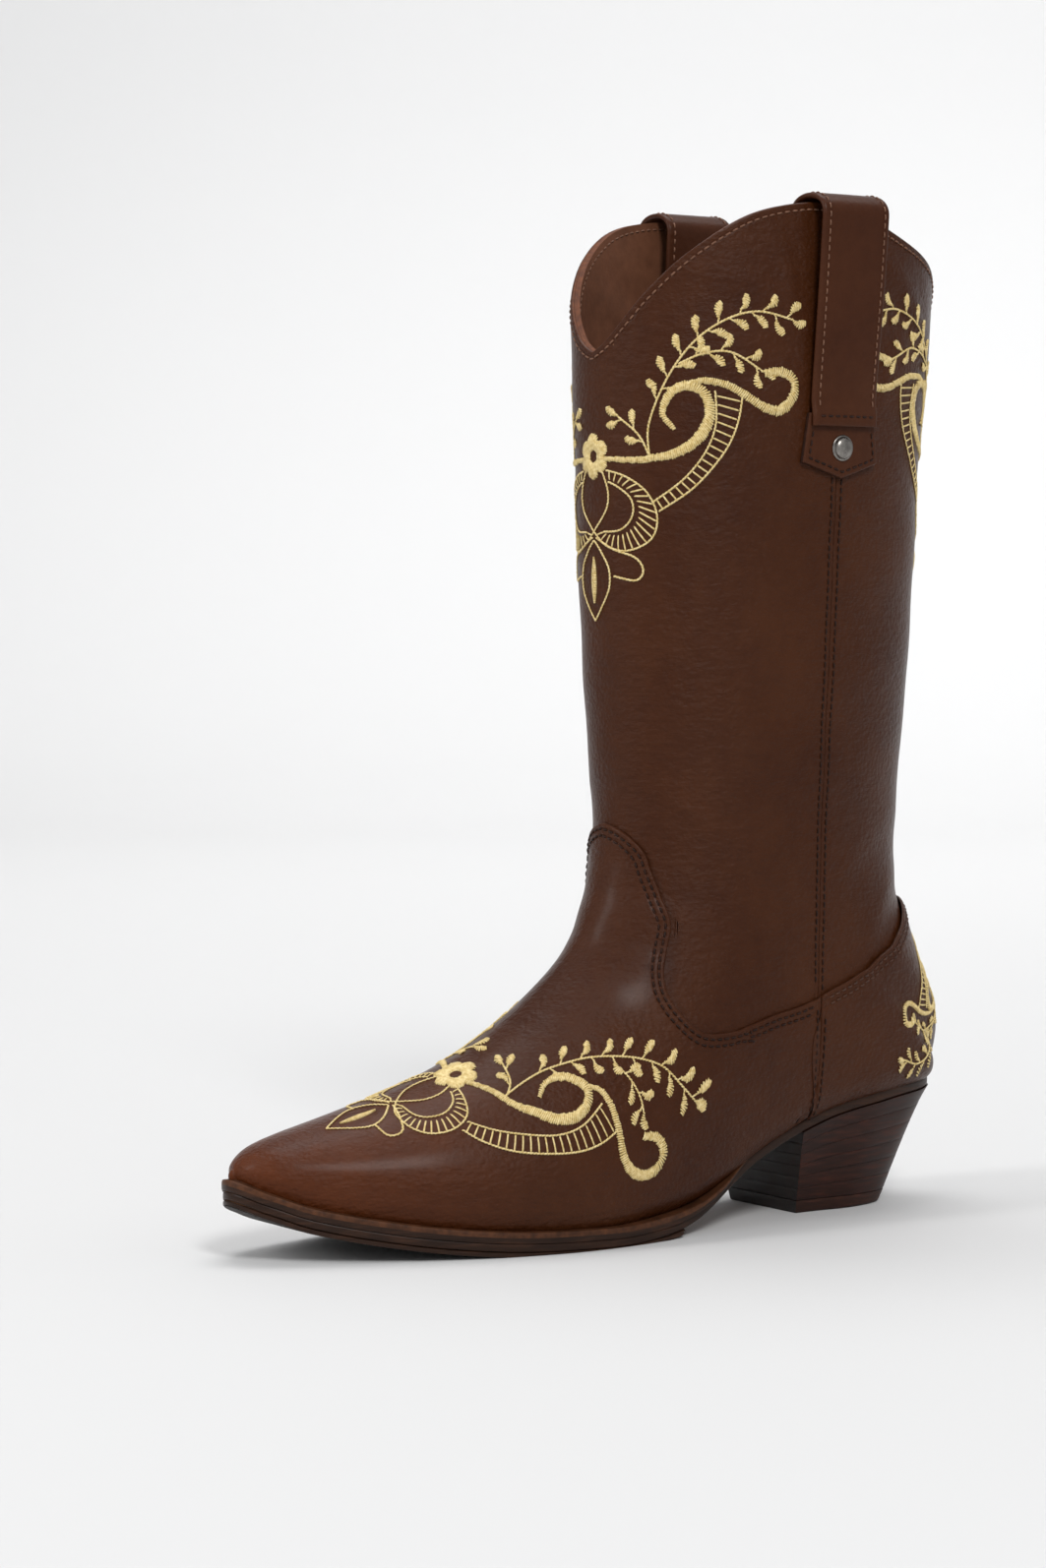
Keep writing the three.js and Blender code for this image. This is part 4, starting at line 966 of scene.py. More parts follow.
# Steps round the heel from the breast to the middle of its back, closer to each other at the back.
BACK_STEPS = np.concatenate([np.linspace(0, 0.9, 60),
                             1 - 0.1 * np.cos(np.linspace(0, PI / 2, 24))[1:] ** 1.5])


def heel_section(share, inset):
    """Once round the heel at a share of its height, as (x, y, y on the seat): up the lateral side from the
    breast, round the back and down the medial side."""
    lean = share ** HEEL["lean"]
    seat_back = HEEL_BACK_Y + HEEL["back_out"] - 0.4
    seat_y = lerp(HEEL["breast_top"], seat_back, np.sin(PI / 2 * BACK_STEPS))
    left, right = seat_edges(seat_y)
    middle = (left + right) / 2
    floor_y = lerp(HEEL["breast_bottom"], HEEL["back_bottom"],
                   (seat_y - HEEL["breast_top"]) / (seat_back - HEEL["breast_top"]))
    y = lerp(seat_y, floor_y, lean)
    medial, lateral = (np.column_stack([middle * (1 - lean) + (x - middle) * lerp(1, HEEL["narrow"], lean),
                                        y, seat_y]) for x in (left, right))
    line = np.concatenate([lateral, medial[::-1]])
    line[:, :2] -= unit(line[:, :2] - [line[:, 0].mean(), (y[0] + y[-1]) / 2]) * inset
    return line


def heel_height(share, seat_y):
    return lerp(HEEL["top_piece"], outsole_bottom(seat_y) - GAP / 2, 1 - share)


def heel_layer(name, shares, profile, faces, materials):
    """One layer of the heel between two shares of its height. The profile of its side is (share of the layer,
    inset), faces give the heights of its two faces, and the materials are for side, breast and faces."""
    rows = []
    for drop, inset in profile:
        x, y, seat_y = heel_section(lerp(*shares, drop), inset).T
        rows.append(np.column_stack([x, y, lerp(faces[0](seat_y), faces[1](seat_y), drop)]))
    count, around = len(rows), len(rows[0])
    walls, wrapped = tube_quads(count, around)
    half = around // 2
    top, under = (strip_quads(row[:half], row[half:around][::-1]) for row in (wrapped[0], wrapped[-1]))
    marks = np.concatenate([np.tile(np.arange(around) == around - 1, count - 1), np.full(2 * len(top), 2)])
    quads = np.concatenate([walls, top, under[:, ::-1]])
    piece = add_piece(name + "_shaped", rows, quads, materials, rim=marks, sharp=45)
    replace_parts(piece, name)


LIFTS_SHARE = 1 - HEEL["top_piece"] / HEEL["height"]
LIFT_PROFILE = [(0, 0.3), (0.005, 0.07), (0.03, 0.01), (0.3, 0), (0.7, 0), (0.97, 0.01), (0.995, 0.07),
                (1, 0.3)]
TOP_PROFILE = [(0, 0.5), (0.02, 0.15), (0.08, 0), (0.4, -0.05), (0.8, 0), (0.95, 0.12), (1, 0.6)]
for k in range(HEEL["lifts"]):
    shares = [k / HEEL["lifts"], (k + 1) / HEEL["lifts"]]
    heel_layer(f"heel_lift_{k + 1}", [share * LIFTS_SHARE for share in shares], LIFT_PROFILE,
               [lambda y: heel_height(shares[0], y) - 0.02, lambda y: heel_height(shares[1], y) + 0.02],
               [heel_stack, breast_face, heel_stack])
heel_layer("heel_top_piece", [LIFTS_SHARE, 1], TOP_PROFILE,
           [lambda y: HEEL["top_piece"] - 0.15 + 0 * y, lambda y: 0 * y],
           [top_piece, breast_face, tread])


# ------------------------------------------------------------------ insole

def add_sock():
    y = lerp(SOCK["front"], SOCK["back"], (1 - np.cos(np.linspace(0, PI, 160))) / 2)
    x = lerp(*edges_at(-SOCK["inset"])(y), np.linspace(0, 1, 25)[:, None])
    level = welt_top(y) + SOCK["lift"] + SOCK["thick"]
    top = np.stack([x, np.broadcast_to(y, x.shape), np.broadcast_to(level, x.shape)], -1)
    points, quads, _ = shell(top, top - [0, 0, SOCK["thick"]])
    piece = add_piece("sock_lining_leather", points, quads, [sock_leather])
    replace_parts(piece, "sock_lining")


add_sock()


# ------------------------------------------------------------------ pull straps, tabs and studs

SIDES = {"lateral": 1, "medial": -1}
WALL = SHAFT[0] - SHAFT_LINING[1]


def side_width(y, z):
    """The half width of the shaft at a place on its side."""
    y, z = np.broadcast_arrays(np.asarray(y, float), np.asarray(z, float))

    def below_z(t):
        front_y, front_z, back_y, back_z = ring_at(t)[:4]
        return lerp(front_z, back_z, (y - front_y) / (back_y - front_y)) < z

    ring = bisect(17, LAST_RING, y.shape, below_z, 32)
    front_y, _, back_y, _, wide, _, middle, above, below, _ = ring_at(ring)
    along = (y - front_y) / (back_y - front_y)
    share = np.where(along < middle, (middle - along) / middle, (along - middle) / (1 - middle))
    roundness = np.where(along < middle, above, below)
    return wide * (1 - share ** roundness) ** (1 / roundness)


TAB_OUT, TAB_INSIDE = GAP + TAB["thick"], -WALL - 2 * GAP  # from the shaft's outer face


def strap_path():
    """The loop's middle line as (distance from the shaft, z), from the foot outside to the foot inside."""
    half = STRAP["thick"] / 2
    z = np.concatenate([np.linspace(STRAP["foot"], 298, 14), np.linspace(301, STRAP["bend"], 22)])
    rise = np.clip((z - STRAP["stitch"]) / (STRAP["bend"] - STRAP["stitch"]), 0, 1)
    on_tab = 1 - smooth(291.5, 299.5, z)
    out = lerp(STRAP["near"], STRAP["far"], rise) + half
    out = lerp(out, TAB_OUT + 0.12 + half, on_tab)
    inside = -WALL - lerp(STRAP["near"], STRAP["far_inside"], rise) - half
    inside = lerp(inside, -WALL - 2 * GAP - 2.2 - half, on_tab)
    middle, radius = (out[-1] + inside[-1]) / 2, (out[-1] - inside[-1]) / 2
    angle = np.linspace(0, PI, 34)[1:-1]
    crown = STRAP["crown"] + half
    arch = np.column_stack([middle + radius * np.sign(np.cos(angle)) * np.abs(np.cos(angle)) ** 0.9,
                            STRAP["bend"] + crown * np.sin(angle) ** 0.92])
    return np.concatenate([np.column_stack([out, z]), arch, np.column_stack([inside, z])[::-1]])


STRAP_PATH = strap_path()
STRAP_LENGTH = arc_length(STRAP_PATH)
STRAP_SLOPE = unit(np.gradient(STRAP_PATH, axis=0))


def strap_surface(side):
    """Points of a loop from (y, length along it, height above its outer face)."""
    def surface(y, length, height):
        x, z, slope_x, slope_z = (np.interp(length, STRAP_LENGTH, column)
                                  for column in (*STRAP_PATH.T, *STRAP_SLOPE.T))
        level = np.minimum(z, STRAP["bend"])
        flat = smooth(STRAP["stitch"], STRAP["bend"], z)  # the loop follows the shaft at its foot only
        base = lerp(side_width(y, level), side_width(STRAP["centre"], level), flat)
        out = STRAP["thick"] / 2 + height
        bulge = 0.35 * np.cos((y - STRAP["centre"]) / STRAP["width"] * PI)
        sag = bulge * smooth(305, 345, z) * np.sign(slope_z)
        return np.stack([side * (base + x + sag + slope_z * out), y + 0 * x, z - slope_x * out], -1)
    return surface


def strap_section():
    """The folded strap's section as (place across, depth below the outer face), with beaded edges."""
    half, thick, bead_wide = STRAP["width"] / 2, STRAP["thick"], 1.6
    flat = np.linspace(-half + bead_wide, half - bead_wide, 17)
    groove = 0.16 * np.exp(-((half - STRAP["border"] - np.abs(flat)) / 0.6) ** 2)
    angle = np.linspace(0, PI, 9)[1:-1]
    bead = np.column_stack([half - bead_wide + bead_wide * np.sin(angle) ** 0.8,
                            -thick / 2 * (1 - np.cos(angle))])
    return np.concatenate([np.column_stack([flat, -groove]), bead,
                           np.column_stack([flat[::-1], np.full(len(flat), -thick)]), bead[::-1] * [-1, 1]])


def blend_strap(piece):
    """Bakes a piece's placement into its mesh."""
    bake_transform(piece)
    return piece


def add_strap(name):
    surface = strap_surface(SIDES[name])
    section = strap_section()
    ends = np.array([0, 0.25, 0.7, 1.4])
    lengths = np.concatenate([ends, np.linspace(2, STRAP_LENGTH[-1] - 2, 150), STRAP_LENGTH[-1] - ends[::-1]])
    edge = np.minimum(lengths, STRAP_LENGTH[-1] - lengths)
    thin = 1 - 0.55 * (1 - np.clip(edge / 1.4, 0, 1)) ** 2
    y = STRAP["centre"] + section[:, 0] * np.ones((len(lengths), 1))
    depth = section[:, 1] * thin[:, None] - 0.5 * (1 - thin[:, None])
    points, quads = loft(surface(y, lengths[:, None] + 0 * y, depth))
    piece = add_piece(f"pull_strap_{name}_leather", points, quads, [strap_leather], body=None,
                      sharp=70)
    blend_strap(piece)
    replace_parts(piece, "pull_strap_" + name)


for name in SIDES:
    add_strap(name)


def tab_lower(across, lowest):
    """The lower outline of a tab: pointed outside, straight inside."""
    return lerp(lowest, TAB["shoulder"], np.abs(across)) if lowest < TAB["inner_end"] else lowest + 0 * across


def tab_surface(side):
    def surface(y, z, height):
        return np.stack([side * (side_width(y, z) + height), y + 0 * z, z + 0 * y], -1)
    return surface


def tab_half(half, z):
    """Half the width of a tab, which flares towards its shoulders."""
    return half + TAB["flare"] * lerp(-0.5, 1, (STRAP["stitch"] - z) / (STRAP["stitch"] - TAB["shoulder"]))


def tab_edge_distance(y, z, half, lowest):
    half = tab_half(half, np.maximum(z, TAB["shoulder"]))
    beside = half - np.abs(y - STRAP["centre"])
    below = z - tab_lower((y - STRAP["centre"]) / half, lowest)
    lean = np.cos(np.arctan2(TAB["shoulder"] - lowest, half)) if lowest < TAB["inner_end"] else 1.0
    return np.minimum(beside, below * lean)


def add_tab(name, where, half, depths, lowest):
    surface = tab_surface(SIDES[name])
    share = np.linspace(0, 1, 31)
    edges = 1 - (1 - np.linspace(0, 1, 34)) ** 2.2
    across = np.concatenate([-edges[:0:-1], edges])
    z = lerp(tab_lower(across, lowest)[None, :], TAB["top"], share[:, None] ** 1.7)
    y = STRAP["centre"] + tab_half(half, np.maximum(z, TAB["shoulder"])) * across[None, :]
    distance = tab_edge_distance(y, z, half, lowest)
    height = edge_height(distance, (TAB["border"],), radius=0.7, groove=0.14)
    outer = surface(y, z, depths[0] + (height if depths[0] > 0 else 0))
    inner = surface(y, z, depths[1] - (0 if depths[0] > 0 else height))
    points, quads, rim = shell(outer, inner)
    node = f"strap_tab_{where}_{name}"
    piece = add_piece(node + "_leather", points, quads, [strap_leather, cut_edge],
                      rim=rim)
    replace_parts(piece, node)


for name in SIDES:
    add_tab(name, "outer", TAB["width"] / 2, (TAB_OUT, GAP), TAB["point"])
    add_tab(name, "inner", STRAP["width"] / 2, (TAB_INSIDE, TAB_INSIDE - TAB["thick"]), TAB["inner_end"])


def add_stud(name):
    """A domed stud with a small collar, square to the side of the shaft."""
    side = SIDES[name]
    slope = float(side_width(SEAM_Y, RIVET["z"] + 5) - side_width(SEAM_Y, RIVET["z"] - 5)) / 10
    axis = unit(np.array([side, 0, -slope]))
    seat = TAB_OUT + 0.02
    angle = np.linspace(0.0, PI / 2, 14)[1:]
    rise = RIVET["dome"] - RIVET["seat"]
    line = [(0.82 * RIVET["cap"] * math.sin(a), seat + RIVET["seat"] + rise * math.cos(a)) for a in angle]
    collar = [(0.86, 0.62), (0.92, 0.6), (0.97, 0.5), (1.0, 0.3), (0.99, 0.05), (0.9, -0.15)]
    line += [(r * RIVET["cap"], seat + h) for r, h in collar]
    line += [(RIVET["post"], seat - 0.1), (RIVET["post"], -WALL - 6 * GAP - 3)]
    turns = np.linspace(0, 2 * PI, RIVET["sides"] + 1)[:-1]
    beside = np.array([0.0, 1.0, 0.0])
    upward = np.cross(axis, beside)
    centre = np.array([side * float(side_width(SEAM_Y, RIVET["z"])), SEAM_Y, RIVET["z"]])
    ring = np.cos(turns)[:, None] * beside + np.sin(turns)[:, None] * upward
    sections = np.array([centre + axis * h + ring * r for r, h in line])
    points, quads = loft(sections)
    points[len(sections) * RIVET["sides"]] = centre + axis * (seat + RIVET["dome"])
    piece = add_piece(f"rivet_{name}_stud", points, quads, [gunmetal], sharp=50)
    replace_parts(piece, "rivet_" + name)


for name in SIDES:
    add_stud(name)


# ------------------------------------------------------------------ stitches

# Along a stitch or a bar of satin: places as shares of it, and how far it stands out there.
STITCH_PLACES = np.array([-0.5, -0.36, 0, 0.36, 0.5])
STITCH_LIFT = np.array([-0.45, 0.108, 0.24, 0.108, -0.45])
BAR_PLACES, BAR_LIFT = np.array([0, 0.13, 0.5, 0.87, 1]), np.array([-0.4, 0.6, 1, 0.6, -0.4])


class Threads:
    """Gathers many small closed bars of thread into one piece."""

    TAPER, ROUNDNESS, SUNK = 0.4, 0.6, 0.3

    def __init__(self, name, material, strap=None):
        self.name, self.material, self.strap = name, material, strap
        self.points, self.quads, self.count = [], [], 0

    def bars(self, surface, u, v, width, height):
        """Bars over a surface: u and v give each bar's stations, and height how far they stand out."""
        height = np.broadcast_to(height, u.shape)
        middle = surface(u, v, height)
        normal = unit(surface(u, v, height + 1.0) - middle)
        beside = unit(np.cross(normal, unit(np.gradient(middle, axis=1))))
        shape = np.ones(u.shape[1])
        shape[0] = shape[-1] = self.TAPER
        wide = (np.full((len(u), 1), float(width)) * shape / 2)[..., None]
        loop = np.stack([middle + beside * wide, middle + normal * wide * self.ROUNDNESS,
                         middle - beside * wide, middle - normal * self.SUNK], 2)
        index = np.arange(loop[..., 0].size).reshape(loop.shape[:3]) + self.count
        turned = np.roll(index, -1, axis=2)
        walls = np.stack([index[:, :-1], turned[:, :-1], turned[:, 1:], index[:, 1:]], -1).reshape(-1, 4)
        self.points.append(loop.reshape(-1, 3))
        self.quads += [walls, index[:, 0, ::-1], index[:, -1]]
        self.count += index.size

    def row(self, surface, u, v, width=STITCH["width"]):
        """A row of single stitches along a line on a surface."""
        reach = arc_length(surface(u, v, 0 * u))
        sewn = reach[-1] - 2 * STITCH["ends"]
        count = max(int(sewn / STITCH["pitch"]), 1)
        centres = STITCH["ends"] + (np.arange(count) + 0.5) * sewn / count
        centres = centres + random.uniform(-0.08, 0.08, count)
        stations = centres[:, None] + STITCH["length"] * STITCH_PLACES
        self.bars(surface, np.interp(stations, reach, u), np.interp(stations, reach, v), width, STITCH_LIFT)

    def finish(self):
        piece = add_piece(self.name, np.concatenate(self.points), np.concatenate(self.quads), [self.material],
                          body=None if self.strap else "root", sharp=180)
        if self.strap:
            blend_strap(piece)


def on_form(depth, lip=False):
    return lambda t, around, height: place(t, around, depth + height, lip)


def edge_row(threads, name, surface, distance, limit=1.0):
    """A row of stitches at a distance inside the drawn edge of a panel."""
    across = np.linspace(-limit, limit, 1200)
    t, around = (line[0] for line in panels[name].band(across, np.array([distance])))
    threads.row(surface, t, around)


def seam_row(threads, side, offset, start, end, depth, lip=False):
    """A row of stitches beside a side seam, from one ring to another."""
    t = np.linspace(start, end, 700)
    around = seam_around(t)
    around = around + offset / ring_speed(t, np.minimum(around, 0.995))
    threads.row(on_form(depth, lip), t, side * np.minimum(around, 0.999))


seam_threads = Threads("stitching_side_seams", dark_thread)
for side in (-1, 1):
    for way, layer in ((-1, VAMP), (1, COUNTER)):
        seam_row(seam_threads, side, way * SEAM_ROW, 12.05, 21.0, SHAFT[0])
        seam_row(seam_threads, side, way * (SEAM_ROW + 0.3), 10.72, 11.75, layer[0], True)
seam_threads.finish()

vamp_threads = Threads("stitching_vamp", dark_thread)
counter_threads = Threads("stitching_counter", brown_thread)
for distance in EDGE_ROWS:
    edge_row(vamp_threads, "vamp", on_form(VAMP[0]), distance, 0.985)
    edge_row(counter_threads, "heel_counter", on_form(COUNTER[0]), distance, 0.975)
vamp_threads.finish()
counter_threads.finish()

# The topline's row shows on the shaft and, from within, on the lining.
topline_threads = Threads("stitching_topline", tan_thread)
for face in (on_form(SHAFT[0]), lambda t, around, height: place(t, around, SHAFT_LINING[1] - height)):
    for name in ("shaft_front", "shaft_back"):
        edge_row(topline_threads, name, face, TOP_ROW)
topline_threads.finish()


def sew_strap(name, side):
    """The rows along a pull strap's edges, round its tab and across its foot."""
    on_strap, on_tab = strap_surface(side), tab_surface(side)
    strap_threads = Threads(f"stitching_strap_{name}", tan_thread, strap=name)
    lengths = np.linspace(5.5, STRAP_LENGTH[-1] - 5.5, 900)
    for way in (-1, 1):
        y = STRAP["centre"] + way * (STRAP["width"] / 2 - STRAP["border"])
        strap_threads.row(on_strap, np.full(len(lengths), y), lengths)
    strap_threads.finish()

    tab_threads = Threads(f"stitching_tab_{name}", dark_thread)
    half, border, top = TAB["width"] / 2, TAB["border"], 288.0
    wide, narrow = tab_half(half, TAB["shoulder"]) - border, tab_half(half, top) - border
    corner = TAB["shoulder"] + 1.6
    point = TAB["point"] + border / math.cos(math.atan2(TAB["shoulder"] - TAB["point"], half))
    steps = np.linspace(0, 4, 600)
    y = STRAP["centre"] + np.interp(steps, range(5), [-narrow, -wide, 0, wide, narrow])
    z = np.interp(steps, range(5), [top, corner, point, corner, top])
    tab_threads.row(lambda y, z, height: on_tab(y, z, TAB_OUT + height), y, z, width=0.7)
    tab_threads.finish()

    foot_threads = Threads(f"stitching_strap_foot_{name}", dark_thread, strap=name)
    foot = np.linspace(-STRAP["width"] / 2 + 1.2, STRAP["width"] / 2 - 1.2, 200)
    foot_threads.row(on_strap, STRAP["centre"] + foot, np.full(len(foot), 3.4))
    foot_threads.finish()


for name, side in SIDES.items():
    sew_strap(name, side)


# ------------------------------------------------------------------ embroidery

class Chart:
    """A flat chart of part of the form: X is the distance round the ring from the front or back line, and Y
    the distance along that line, both from the flower."""

    STEP, REACH = 0.5, 110

    def __init__(self, line, ring, first, last):
        rings = np.linspace(first, last, 260)
        length = arc_length(form(rings, line))
        self.rings, self.heights = rings, length - np.interp(ring, rings, length)
        places = np.abs(line - np.linspace(0, 0.999, 500))
        points = form(rings[:, None], places[None, :])
        round_ring = np.linalg.norm(np.diff(points, axis=1), axis=-1)
        round_ring = np.concatenate([np.zeros((len(rings), 1)), np.cumsum(round_ring, axis=1)], axis=1)
        self.steps = np.arange(0, self.REACH, self.STEP)
        self.table = np.array([np.interp(self.steps, row, places) for row in round_ring])

    def at(self, x, y):
        row = np.interp(y, self.heights, np.arange(len(self.rings)))
        column = np.clip(np.abs(x) / self.STEP, 0, len(self.steps) - 1.001)
        r, c = np.minimum(row.astype(int), len(self.rings) - 2), column.astype(int)
        u, v = row - r, column - c
        near = lerp(self.table[r, c], self.table[r, c + 1], v)
        far = lerp(self.table[r + 1, c], self.table[r + 1, c + 1], v)
        ring = np.interp(row, np.arange(len(self.rings)), self.rings)
        return ring, np.where(x < 0, -1, 1) * lerp(near, far, u)


def cross(a, b):
    return a[..., 0] * b[..., 1] - a[..., 1] * b[..., 0]


class HeelChart:
    """A chart of the back of the counter: X is the distance round it from the back line and Y the height
    above the flower."""

    CENTRE_Y, RADIUS = 36, 37  # of the cylinder that it is measured on

    def __init__(self, ring):
        self.base = float(form(np.array(ring), np.array(1.0))[2])

    def at(self, x, y):
        """The place of a point of the chart, by Newton's method from a first guess."""
        goal = np.stack([np.abs(x) / self.RADIUS, (self.base + y) / self.RADIUS], -1)
        t, around = 16 + y / 28, 1 - np.abs(x) / 120
        for _ in range(14):
            here = self.measure(t, around)
            way_t = (self.measure(t + 0.02, around) - here) / 0.02
            way_a = (here - self.measure(t, around - 0.004)) / 0.004
            miss = goal - here
            scale = cross(way_t, way_a)
            scale = np.where(np.abs(scale) < 0.05, 0.05 * np.where(scale < 0, -1, 1), scale)
            t = np.clip(t + 0.8 * cross(miss, way_a) / scale, 11.5, 17.2)
            around = np.clip(around - 0.8 * cross(miss, way_t) / scale, 0.5, 1)
        return t, np.where(x < 0, -1, 1) * around

    def measure(self, t, around):
        x, y, z = np.moveaxis(form(t, around), -1, 0)
        return np.stack([np.arctan2(x, y - self.CENTRE_Y), z / self.RADIUS], -1)


def smooth_path(knots, spacing=0.4):
    curve = spline(knots, np.linspace(0, len(knots) - 1, 40 * len(knots)), straight=False)
    return resample(curve, spacing)


def heading(path):
    return unit(np.gradient(path, axis=0))


def turned_left(vectors):
    return np.stack([-vectors[:, 1], vectors[:, 0]], -1)


class Embroidery:
    """Sews one motif on a chart. frame moves a point of the motif to the chart, and size is its scale."""

    def __init__(self, threads, chart, surface, frame, size):
        self.threads, self.chart, self.surface, self.frame, self.size = threads, chart, surface, frame, size

    def sew(self, start, end, width=0.6, tall=0.6, mirrors=(1, -1), uneven=0.05):
        """Bars from start to end (arrays of points), raised in the middle, on both sides of the chart."""
        flat = start[:, None] + (end - start)[:, None] * BAR_PLACES[:, None]
        for mirror in mirrors:
            x, y = self.frame(flat[..., 0] * mirror, flat[..., 1])
            lift = (BAR_LIFT * tall)[None, :] + random.uniform(-uneven, uneven, (len(flat), 1))
            self.threads.bars(self.surface, *self.chart.at(x, y), width, lift)

    def sew_once(self, start, end, width=0.6):
        """Bars that aren't mirrored."""
        self.sew(start, end, width, mirrors=(1,), uneven=0.04)

    def satin(self, knots, widths, tall=0.55, pitch=0.78, slant=0.26):
        path = resample(smooth_path(knots), pitch / self.size)
        along = heading(path)
        across = turned_left(along)
        wide = np.interp(np.linspace(0, 1, len(path)), np.linspace(0, 1, len(widths)), widths)[:, None] / 2
        ragged = random.uniform(-0.12, 0.3, (2, len(path), 1))
        lean = along * wide * slant
        start, end = across * (wide + ragged[0]) + lean, across * (wide + ragged[1]) + lean
        self.sew(path - start, path + end, 0.8, tall)

    def line(self, knots, width=0.8, length=1.7, tall=0.34):
        """A line of short overlapping stitches."""
        path = smooth_path(knots, 0.1)
        places = np.arange(len(path))
        count = max(int(len(path) * 0.1 / (length * 0.78)), 2)
        at = np.linspace(0, len(path) - 1, count + 1)
        first = along_line(at[:-1], places, path)
        last = along_line(np.minimum(at[1:] + 0.22 * length / 0.1, len(path) - 1), places, path)
        shift = 0.13 * turned_left(unit(last - first))
        self.sew(first - shift, last + shift, width, tall)

    def leaf(self, base, way, length=5.8, width=3.1):
        """A teardrop of satin with a short stalk."""
        base, way = np.array(base, float), unit(np.array(way, float))
        stalk = base + way * 2.0
        self.line([base, stalk], 0.62, 1.4, 0.28)
        curl = 0.16 * length * np.array([-way[1], way[0]]) * random.choice([-1, 1])
        self.satin([stalk - way * 0.3, stalk + way * length * 0.5 + curl, stalk + way * length],
                   [0.6, 0.4 * width, 0.75 * width, width, width, 0.6 * width], 0.42, 0.66, slant=0.35)

    def sprig(self, knots, first, length, step=8.4, angle=50):
        """A stem with a leaf at its end, and leaves on both sides in turn from a first one on."""
        path = smooth_path(knots, 0.25)
        along = heading(path)
        self.line(knots)
        last = len(path) * 0.25 - 2.0
        places = np.linspace(first, last, int((last - first) / (step / 2)) + 1)
        for k, place_on in enumerate(places):
            at = int(place_on / 0.25)
            turn = math.radians(angle) * (-1 if k % 2 else 1)
            (x, y), c, s = along[at], math.cos(turn), math.sin(turn)
            self.leaf(path[at], [x * c - y * s, x * s + y * c], length)
        self.leaf(path[-1] - along[-1], along[-1], length)

    def ladder(self, inner, outer, pitch=3.1, reach=1.0):
        """Two lines with rungs between them, which start at the outer one."""
        near, far = smooth_path(inner, 0.1), smooth_path(outer, 0.1)
        self.line(inner, 0.72)
        self.line(outer, 0.72)
        count = int(max(len(near), len(far)) * 0.1 / pitch)
        share = (np.arange(count) + 0.6) / (count + 0.2)
        first, last = (along_line(share * (len(path) - 1), np.arange(len(path)), path)
                       for path in (near, far))
        self.sew(last + (first - last) * reach, last, 0.66, 0.26)

    def flower(self, petals=6, inner=2.0, radius=8.6):
        turn = np.linspace(0, 2 * PI, 67)[:-1]
        reach = radius * (0.66 + 0.34 * np.abs(np.cos(turn * petals / 2)) ** 0.5)
        out = np.stack([np.sin(turn), np.cos(turn)], -1)
        start = out * (inner + random.uniform(-0.15, 0.15, (len(turn), 1)))
        self.sew_once(start, out * (reach + random.uniform(-0.3, 0.2, len(turn)))[:, None], 0.84)


def shaft_motif(art, full=True):
    """The floral scroll of the shaft: X sideways and Y up from the flower, in millimetres."""
    art.satin([(7, -1), (18, -1), (25, 0), (35, 3), (43, 9), (47, 17), (45, 24), (39, 26), (33, 23), (30, 16),
               (34, 11)], [1.8, 2.2, 2.6, 3.4, 4.2, 4.0, 3.4, 2.8, 1.6])
    art.satin([(38, 26), (45, 28), (54, 27), (61, 24), (68, 21), (74, 21), (79, 26), (79, 31), (74, 33),
               (68, 32)], [1.6, 2.4, 2.8, 3.0, 3.4, 3.6, 3.4, 2.6])
    art.ladder([(49, 25), (49, 14), (45, 4), (37, -6), (26, -15)],
               [(59, 24), (57, 15), (52, 5), (41, -8), (28, -18)])
    art.sprig([(25, 1), (25, 12), (32, 28), (42, 41), (54, 49), (66, 52), (78, 50)], first=20, length=5.2)
    art.sprig([(36, 33), (45, 37), (55, 38), (66, 33)], first=7, length=4.6)
    art.sprig([(25, 1), (21, 8), (13, 14)], first=5, length=4.6)
    art.ladder([(8, -9), (13, -11), (18, -15), (18, -21), (13, -26), (5, -27)],
               [(7, -5), (16, -7), (24, -12), (27.5, -20), (25, -28), (16, -33), (7, -32), (0, -27)],
               3.0, 0.8)
    art.line([(5, -5), (8, -12), (7, -19), (0, -27)])
    if full:
        art.line([(0, -30), (4, -34), (8, -40), (8, -47), (4, -54), (0, -59)])
        art.line([(1, -29), (10, -33), (19, -35), (22, -39), (19, -43), (10, -42.5)])
        art.sew_once(*sliver((0, -36), (0, -53), 3.2))
    art.flower()


def sliver(top, bottom, width, pitch=0.6):
    """Ends of the satin bars of a narrow leaf."""
    y = np.arange(bottom[1], top[1], pitch)
    half = width / 2 * np.sin(PI * (y - bottom[1]) / (top[1] - bottom[1])) ** 0.8
    x = np.interp(y, [bottom[1], top[1]], [bottom[0], top[0]])
    return np.stack([x - half, y - 0.2 * half], -1), np.stack([x + half, y + 0.2 * half], -1)


